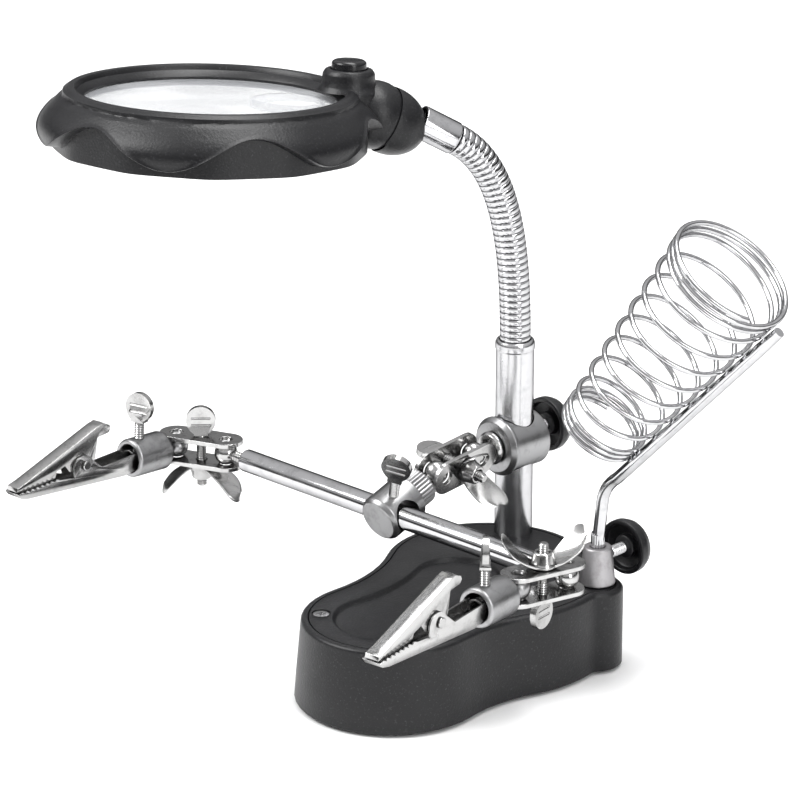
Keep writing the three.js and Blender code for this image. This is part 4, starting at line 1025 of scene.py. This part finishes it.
CLAMP_CENTRE = (0, 0, 66.1)
CLAMP_AZIMUTH = 257.1
CENTRE_WAY = (262.8, -3.7)  # azimuth and slope of the centre joint
BAR_WAY = (261.3, -18.5)  # and of the bar clamp
BAR_REACH = 25.3  # the bar's axis from its clamp's ball
BAR_LEFT, BAR_RIGHT = -82.5, 83.1  # the bar's balls, along the bar
CLAMP = framed(CLAMP_CENTRE, CLAMP_AZIMUTH)
BALL_1 = Vector(CLAMP_CENTRE) + heading(CLAMP_AZIMUTH) * BALL_SPACING
CENTRE = framed(BALL_1, *CENTRE_WAY, -99.8)
BALL_2 = BALL_1 + heading(*CENTRE_WAY) * BALL_SPACING
BAR = framed(BALL_2, *BAR_WAY)
BAR_MIDDLE = BALL_2 + heading(*BAR_WAY) * BAR_REACH


def post_clamp():
    barrel = rounded([(0, -9), (9.5, -9), (10.3, -8.2), (10.3, 7.0), (10.5, 7.4), (10.9, 7.6), (10.9, 8.6),
                      (9.3, 10.2), (0, 10.2)], 0.3)
    bore = lathe([(0, -20), (7.2, -20), (7.2, 20), (0, 20)], 80)
    body = drilled(moved(lathe(barrel, 96), ALONG_X), bore)
    place("clamp body", body, CLAMP, satin, "post_clamp", ["clamp_body"], "nickel_plate", 0.4, 40, 3)
    screw, knob = dish_knob(7.5, 15.5)
    at = CLAMP @ shift(0, 0, 2.4) @ spin_about("Z", 180)
    place("clamp knob", knob, at, black_plastic, "clamp_knob_body", ["clamp_knob"], "black_plastic", 0)
    place("clamp knob screw", screw, at, steel, "clamp_knob_body", [], "bright_steel", 0)
    boss = lathe(rounded([(0, 10.5), (5.8, 10.5), (6.2, 11.6), (5.4, 13), (0, 13.4)], 0.4), 56)
    stud = moved(ball_stud(7.5), shift(BALL_SPACING, 0, 0) @ spin_about("Z", 180))
    place("clamp ball stud", together(moved(boss, ALONG_X), stud), CLAMP, nickel, "arm_stud",
          ["clamp_ball_stud"], "nickel_plate", 0.15)


def bar_clamp():
    place("bar clamp stud", ball_stud(12.6), BAR, nickel, "bar_stud", ["bar_clamp_stud"], "nickel_plate", 0.1)
    profile = rounded([(0, 7.6), (6.2, 7.6), (6.7, 8.2), (6.7, 15), (8.5, 15.4), (8.5, 29.6), (7.3, 31.2),
                       (0, 31.2)], 0.5)
    bore = moved(lathe([(0, -20), (5.6, -20), (5.6, 20), (0, 20)], 72), shift(24.2, 0, 0) @ ALONG_Y)
    hole = moved(lathe([(0, 0), (2.3, 0), (2.3, 11), (0, 11)], 32), ALONG_X)
    barrel = fluted(lathe(profile, 168), 6, 28, 0.06, 2, below=15.2)
    body = drilled(moved(barrel, ALONG_X), bore, hole)
    place("bar clamp body", body, BAR, satin, "bar_holder", ["bar_clamp"], "nickel_plate", 0.4, 40, 3)
    at = BAR @ shift(23.6, 0, 0) @ spin_about("X", -22) @ spin_about("Z", 24)
    place("bar thumb screw", spade_screw(5.3, 16.2, 22.8), at, nickel, "bar_screw", ["bar_clamp_screw"],
          "nickel_plate", 0.3, 42, 3)


def cross_bar():
    left, right = BAR_LEFT + 10.6, BAR_RIGHT - 10.6
    profile = rounded([(2.3, left + 10), (2.3, left), (4.2, left), (4.2, right), (2.3, right),
                       (2.3, right - 10)], 0.5)
    tube = lathe([(0, left + 10)] + profile + [(0, right - 10)], 72)
    place("cross bar", moved(tube, ALONG_Y), BAR @ shift(BAR_REACH, 0, 0), chrome, "cross_bar_body",
          ["cross_bar"], "chrome_plate", 0)
    for side, reach, spin in (("left", BAR_LEFT, 90), ("right", BAR_RIGHT, -90)):
        at = BAR @ shift(BAR_REACH, reach, 0) @ spin_about("Z", spin)
        place(f"{side}_bar_ball", ball_stud(18.6), at, nickel, "cross_bar_body", [f"{side}_bar_stud"],
              "nickel_plate", 0.1)


post_clamp()
ball_joint("centre", CENTRE, True, 60, 90)
bar_clamp()
cross_bar()

# -------------------- arms with their clips

BAR_ALONG = heading(BAR_WAY[0] + 90)
MOUTH = 23.8  # the holder's open end, from its ball
CLIP_REACH = 0.94  # the clip's length, as a share of its drawing
CLIP_PIVOT = 25.3 * CLIP_REACH  # the rivet, from the holder's mouth


def clip_holder(side, where, screw_spin):
    profile = rounded([(0, 6.8), (5.7, 6.8), (7.1, 8.4), (7.1, 23.0), (6.6, MOUTH), (5.2, MOUTH), (5.2, 10.8),
                       (0, 10.8)], 0.5)
    body = together(moved(lathe(profile, 80), ALONG_X), ball_stud(7.8))
    place(f"{side}_holder_barrel", body, where, satin, f"{side}_holder", [f"{side}_clip_holder"],
          "nickel_plate", 0.1)
    at = where @ shift(MOUTH - 5, 0, 0) @ spin_about("Z", screw_spin)
    place(f"{side}_holder_thumb_screw", spade_screw(3.7, 13.1, 18.7), at, nickel, f"{side}_holder_screw_body",
          [f"{side}_holder_screw"], "nickel_plate", 0.3, 42, 3)


def refined(name, node, body, material, slot, edge):
    """A CAD piece with its edges rounded off."""
    bm = bmesh.new()
    bm.from_mesh(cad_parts[node].data)
    bmesh.ops.remove_doubles(bm, verts=bm.verts, dist=1e-6)
    bmesh.ops.dissolve_limit(bm, angle_limit=radians(1), verts=bm.verts, edges=bm.edges)
    place(name, bm, Matrix.Scale(1 / MM, 4), material, body, [node], slot, edge, 30, 2)


def clip(side, where):
    for level, body in (("lower", f"{side}_clip"), ("upper", f"{side}_jaw")):
        refined(f"{side}_{level}_clip_jaw", f"{side}_{level}_jaw", body, nickel, "nickel_plate", 0.14)
    at = where @ shift(MOUTH + CLIP_PIVOT, 0, 3.7) @ ALONG_Y
    pin = lathe(rounded([(0, -4.6), (1.7, -4.6), (1.9, -4.1), (1.1, -4.0), (1.1, 4.0), (1.9, 4.1), (1.7, 4.6),
                         (0, 4.6)], 0.3), 32)
    place(f"{side}_clip_rivet", pin, at, nickel, f"{side}_clip", [f"{side}_clip_pin"], "nickel_plate", 0)
    turns = [(1.9 * cos(a), 1.9 * sin(a), -1.5 + 3 * a / (6 * pi))
             for a in [6 * pi * i / 90 for i in range(91)]]
    place(f"{side}_clip_coil_spring", swept(turns, [0.32] * len(turns), 10), at, steel, f"{side}_clip",
          [f"{side}_clip_spring"], "bright_steel", 0)


def arm(side, reach, azimuth, slope, nut_up, nut_spin, head_spin, clip_azimuth, clip_slope, screw_spin):
    inner = BAR_MIDDLE + BAR_ALONG * reach
    ball_joint(side, framed(inner, azimuth, slope), nut_up, nut_spin, head_spin)
    outer = inner + heading(azimuth, slope) * BALL_SPACING
    holder = framed(outer, clip_azimuth, clip_slope)
    clip_holder(side, holder, screw_spin)
    clip(side, holder)


arm("left", BAR_LEFT, azimuth=191.8, slope=0, nut_up=False, nut_spin=6, head_spin=-66.7,
    clip_azimuth=261, clip_slope=3.2, screw_spin=15)
arm("right", BAR_RIGHT, azimuth=248.5, slope=1.4, nut_up=True, nut_spin=12, head_spin=68.5,
    clip_azimuth=267.2, clip_slope=1.2, screw_spin=-52)

# -------------------- soldering iron stand

STAND = Vector((50.8, -23, 0))
LEAN = 46.9  # the coil's slope
COIL_TURNS = 12.58
COIL_STEPS = 760


def stand_socket():
    profile = rounded([(2.5, 33.6), (2.5, 44.6), (2.9, 45), (4.6, 45), (5.0, 44.5), (6.3, 32.6), (6.5, 31.3),
                       (2.9, 31.3), (2.9, 26), (0, 26), (0, 33.6)], 0.5)
    place("stand cone", lathe(profile, 88), shift(*STAND), cast_zinc, "base", ["stand_socket"],
          "cast_zinc", 0)
    screw, knob = dish_knob(6.8, 13.6)
    at = framed(STAND + Vector((0, 0, 40.5)), 81)
    place("stand knob dish", knob, at, black_plastic, "stand_knob_body", ["stand_knob"], "black_plastic", 0)
    place("stand knob screw", screw, at, steel, "stand_knob_body", [], "bright_steel", 0)


def stand_rod():
    """Upright in its socket, then bent over to the slope of the coil."""
    lean = heading(0, LEAN)
    end = Vector((120.6, -23, 138.8))
    bend_end = end - lean * ((end.z - 72.3) / sin(radians(LEAN)))
    foot, neck = STAND + Vector((0, 0, 34.4)), STAND + Vector((0, 0, 46))
    bend_start, corner = STAND + Vector((1.6, 0, 62)), STAND + Vector((2.2, 0, 68.4))
    points = [foot.lerp(neck, i / 12) for i in range(12)]
    points += [neck.lerp(bend_start, i / 24) for i in range(24)]
    points += [bend_start.lerp(corner, t).lerp(corner.lerp(bend_end, t), t)
               for t in [i / 20 for i in range(20)]]
    points += [bend_end.lerp(end, i / 10) for i in range(11)]
    radii = [2.2] * len(points)
    radii[-1] = 1.9
    place("stand rod wire", swept(points, radii, 40), UPRIGHT, chrome, "iron_stand", ["stand_rod"],
          "chrome_plate", 0, 50)


def rod_sleeve():
    """The splined sleeve round the rod's foot."""
    section = [(2.1, 44.4), (2.5, 44.4), (2.5, 49.6), (2.3, 50.2), (2.1, 50.2), (2.1, 44.4)]
    sleeve = fluted(lathe(rounded(section, 0.2), 112), 2.25, 14, 0.09, 3)
    place("rod sleeve", sleeve, shift(*STAND), chrome, "iron_stand", [], "chrome_plate", 0)


def iron_coil():
    """A conical coil of bright wire: close turns at both ends and open turns between."""
    small, large = Vector((50, -23, 88.3)), Vector((102.4, -23, 156.8))
    axis = large - small
    side = Vector((0, 1, 0))
    up = axis.normalized().cross(side).normalized()
    points = []
    for i in range(COIL_STEPS + 1):
        t = i / COIL_STEPS
        ease = t * 0.35 if t < 0.22 else 1 - (1 - t) * 0.4 if t > 0.8 else 0.077 + (t - 0.22) * 0.843 / 0.58
        radius = 14.1 + 8.2 * ease
        angle = 2 * pi * COIL_TURNS * t + 0.4
        points.append(small + axis * ease + side * radius * cos(angle) + up * radius * sin(angle))
    place("iron rest coil", swept(points, [0.95] * len(points), 16), UPRIGHT, chrome, "iron_stand",
          ["iron_coil"], "chrome_plate", 0, 60)


stand_socket()
stand_rod()
rod_sleeve()
iron_coil()

# -------------------- carried pieces, floor and finish

CARRIED = (
    ("bottom_plate", black_plastic), ("battery_door", black_plastic), ("ballast_plate", steel),
    ("battery_1", battery_wrap), ("battery_2", battery_wrap),
)
for node, material in CARRIED:
    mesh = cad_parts[node].data
    mesh.materials.clear()
    mesh.materials.append(material)

bench = bmesh.new()
bmesh.ops.create_grid(bench, x_segments=1, y_segments=1, size=6)
floor = object_from("bench top", bench)
floor_material, _, floor_shader, _ = blank_material("pale bench")
floor_shader.inputs["Base Color"].default_value = (0.86, 0.86, 0.86, 1)
floor_shader.inputs["Roughness"].default_value = 0.8
floor.data.materials.append(floor_material)
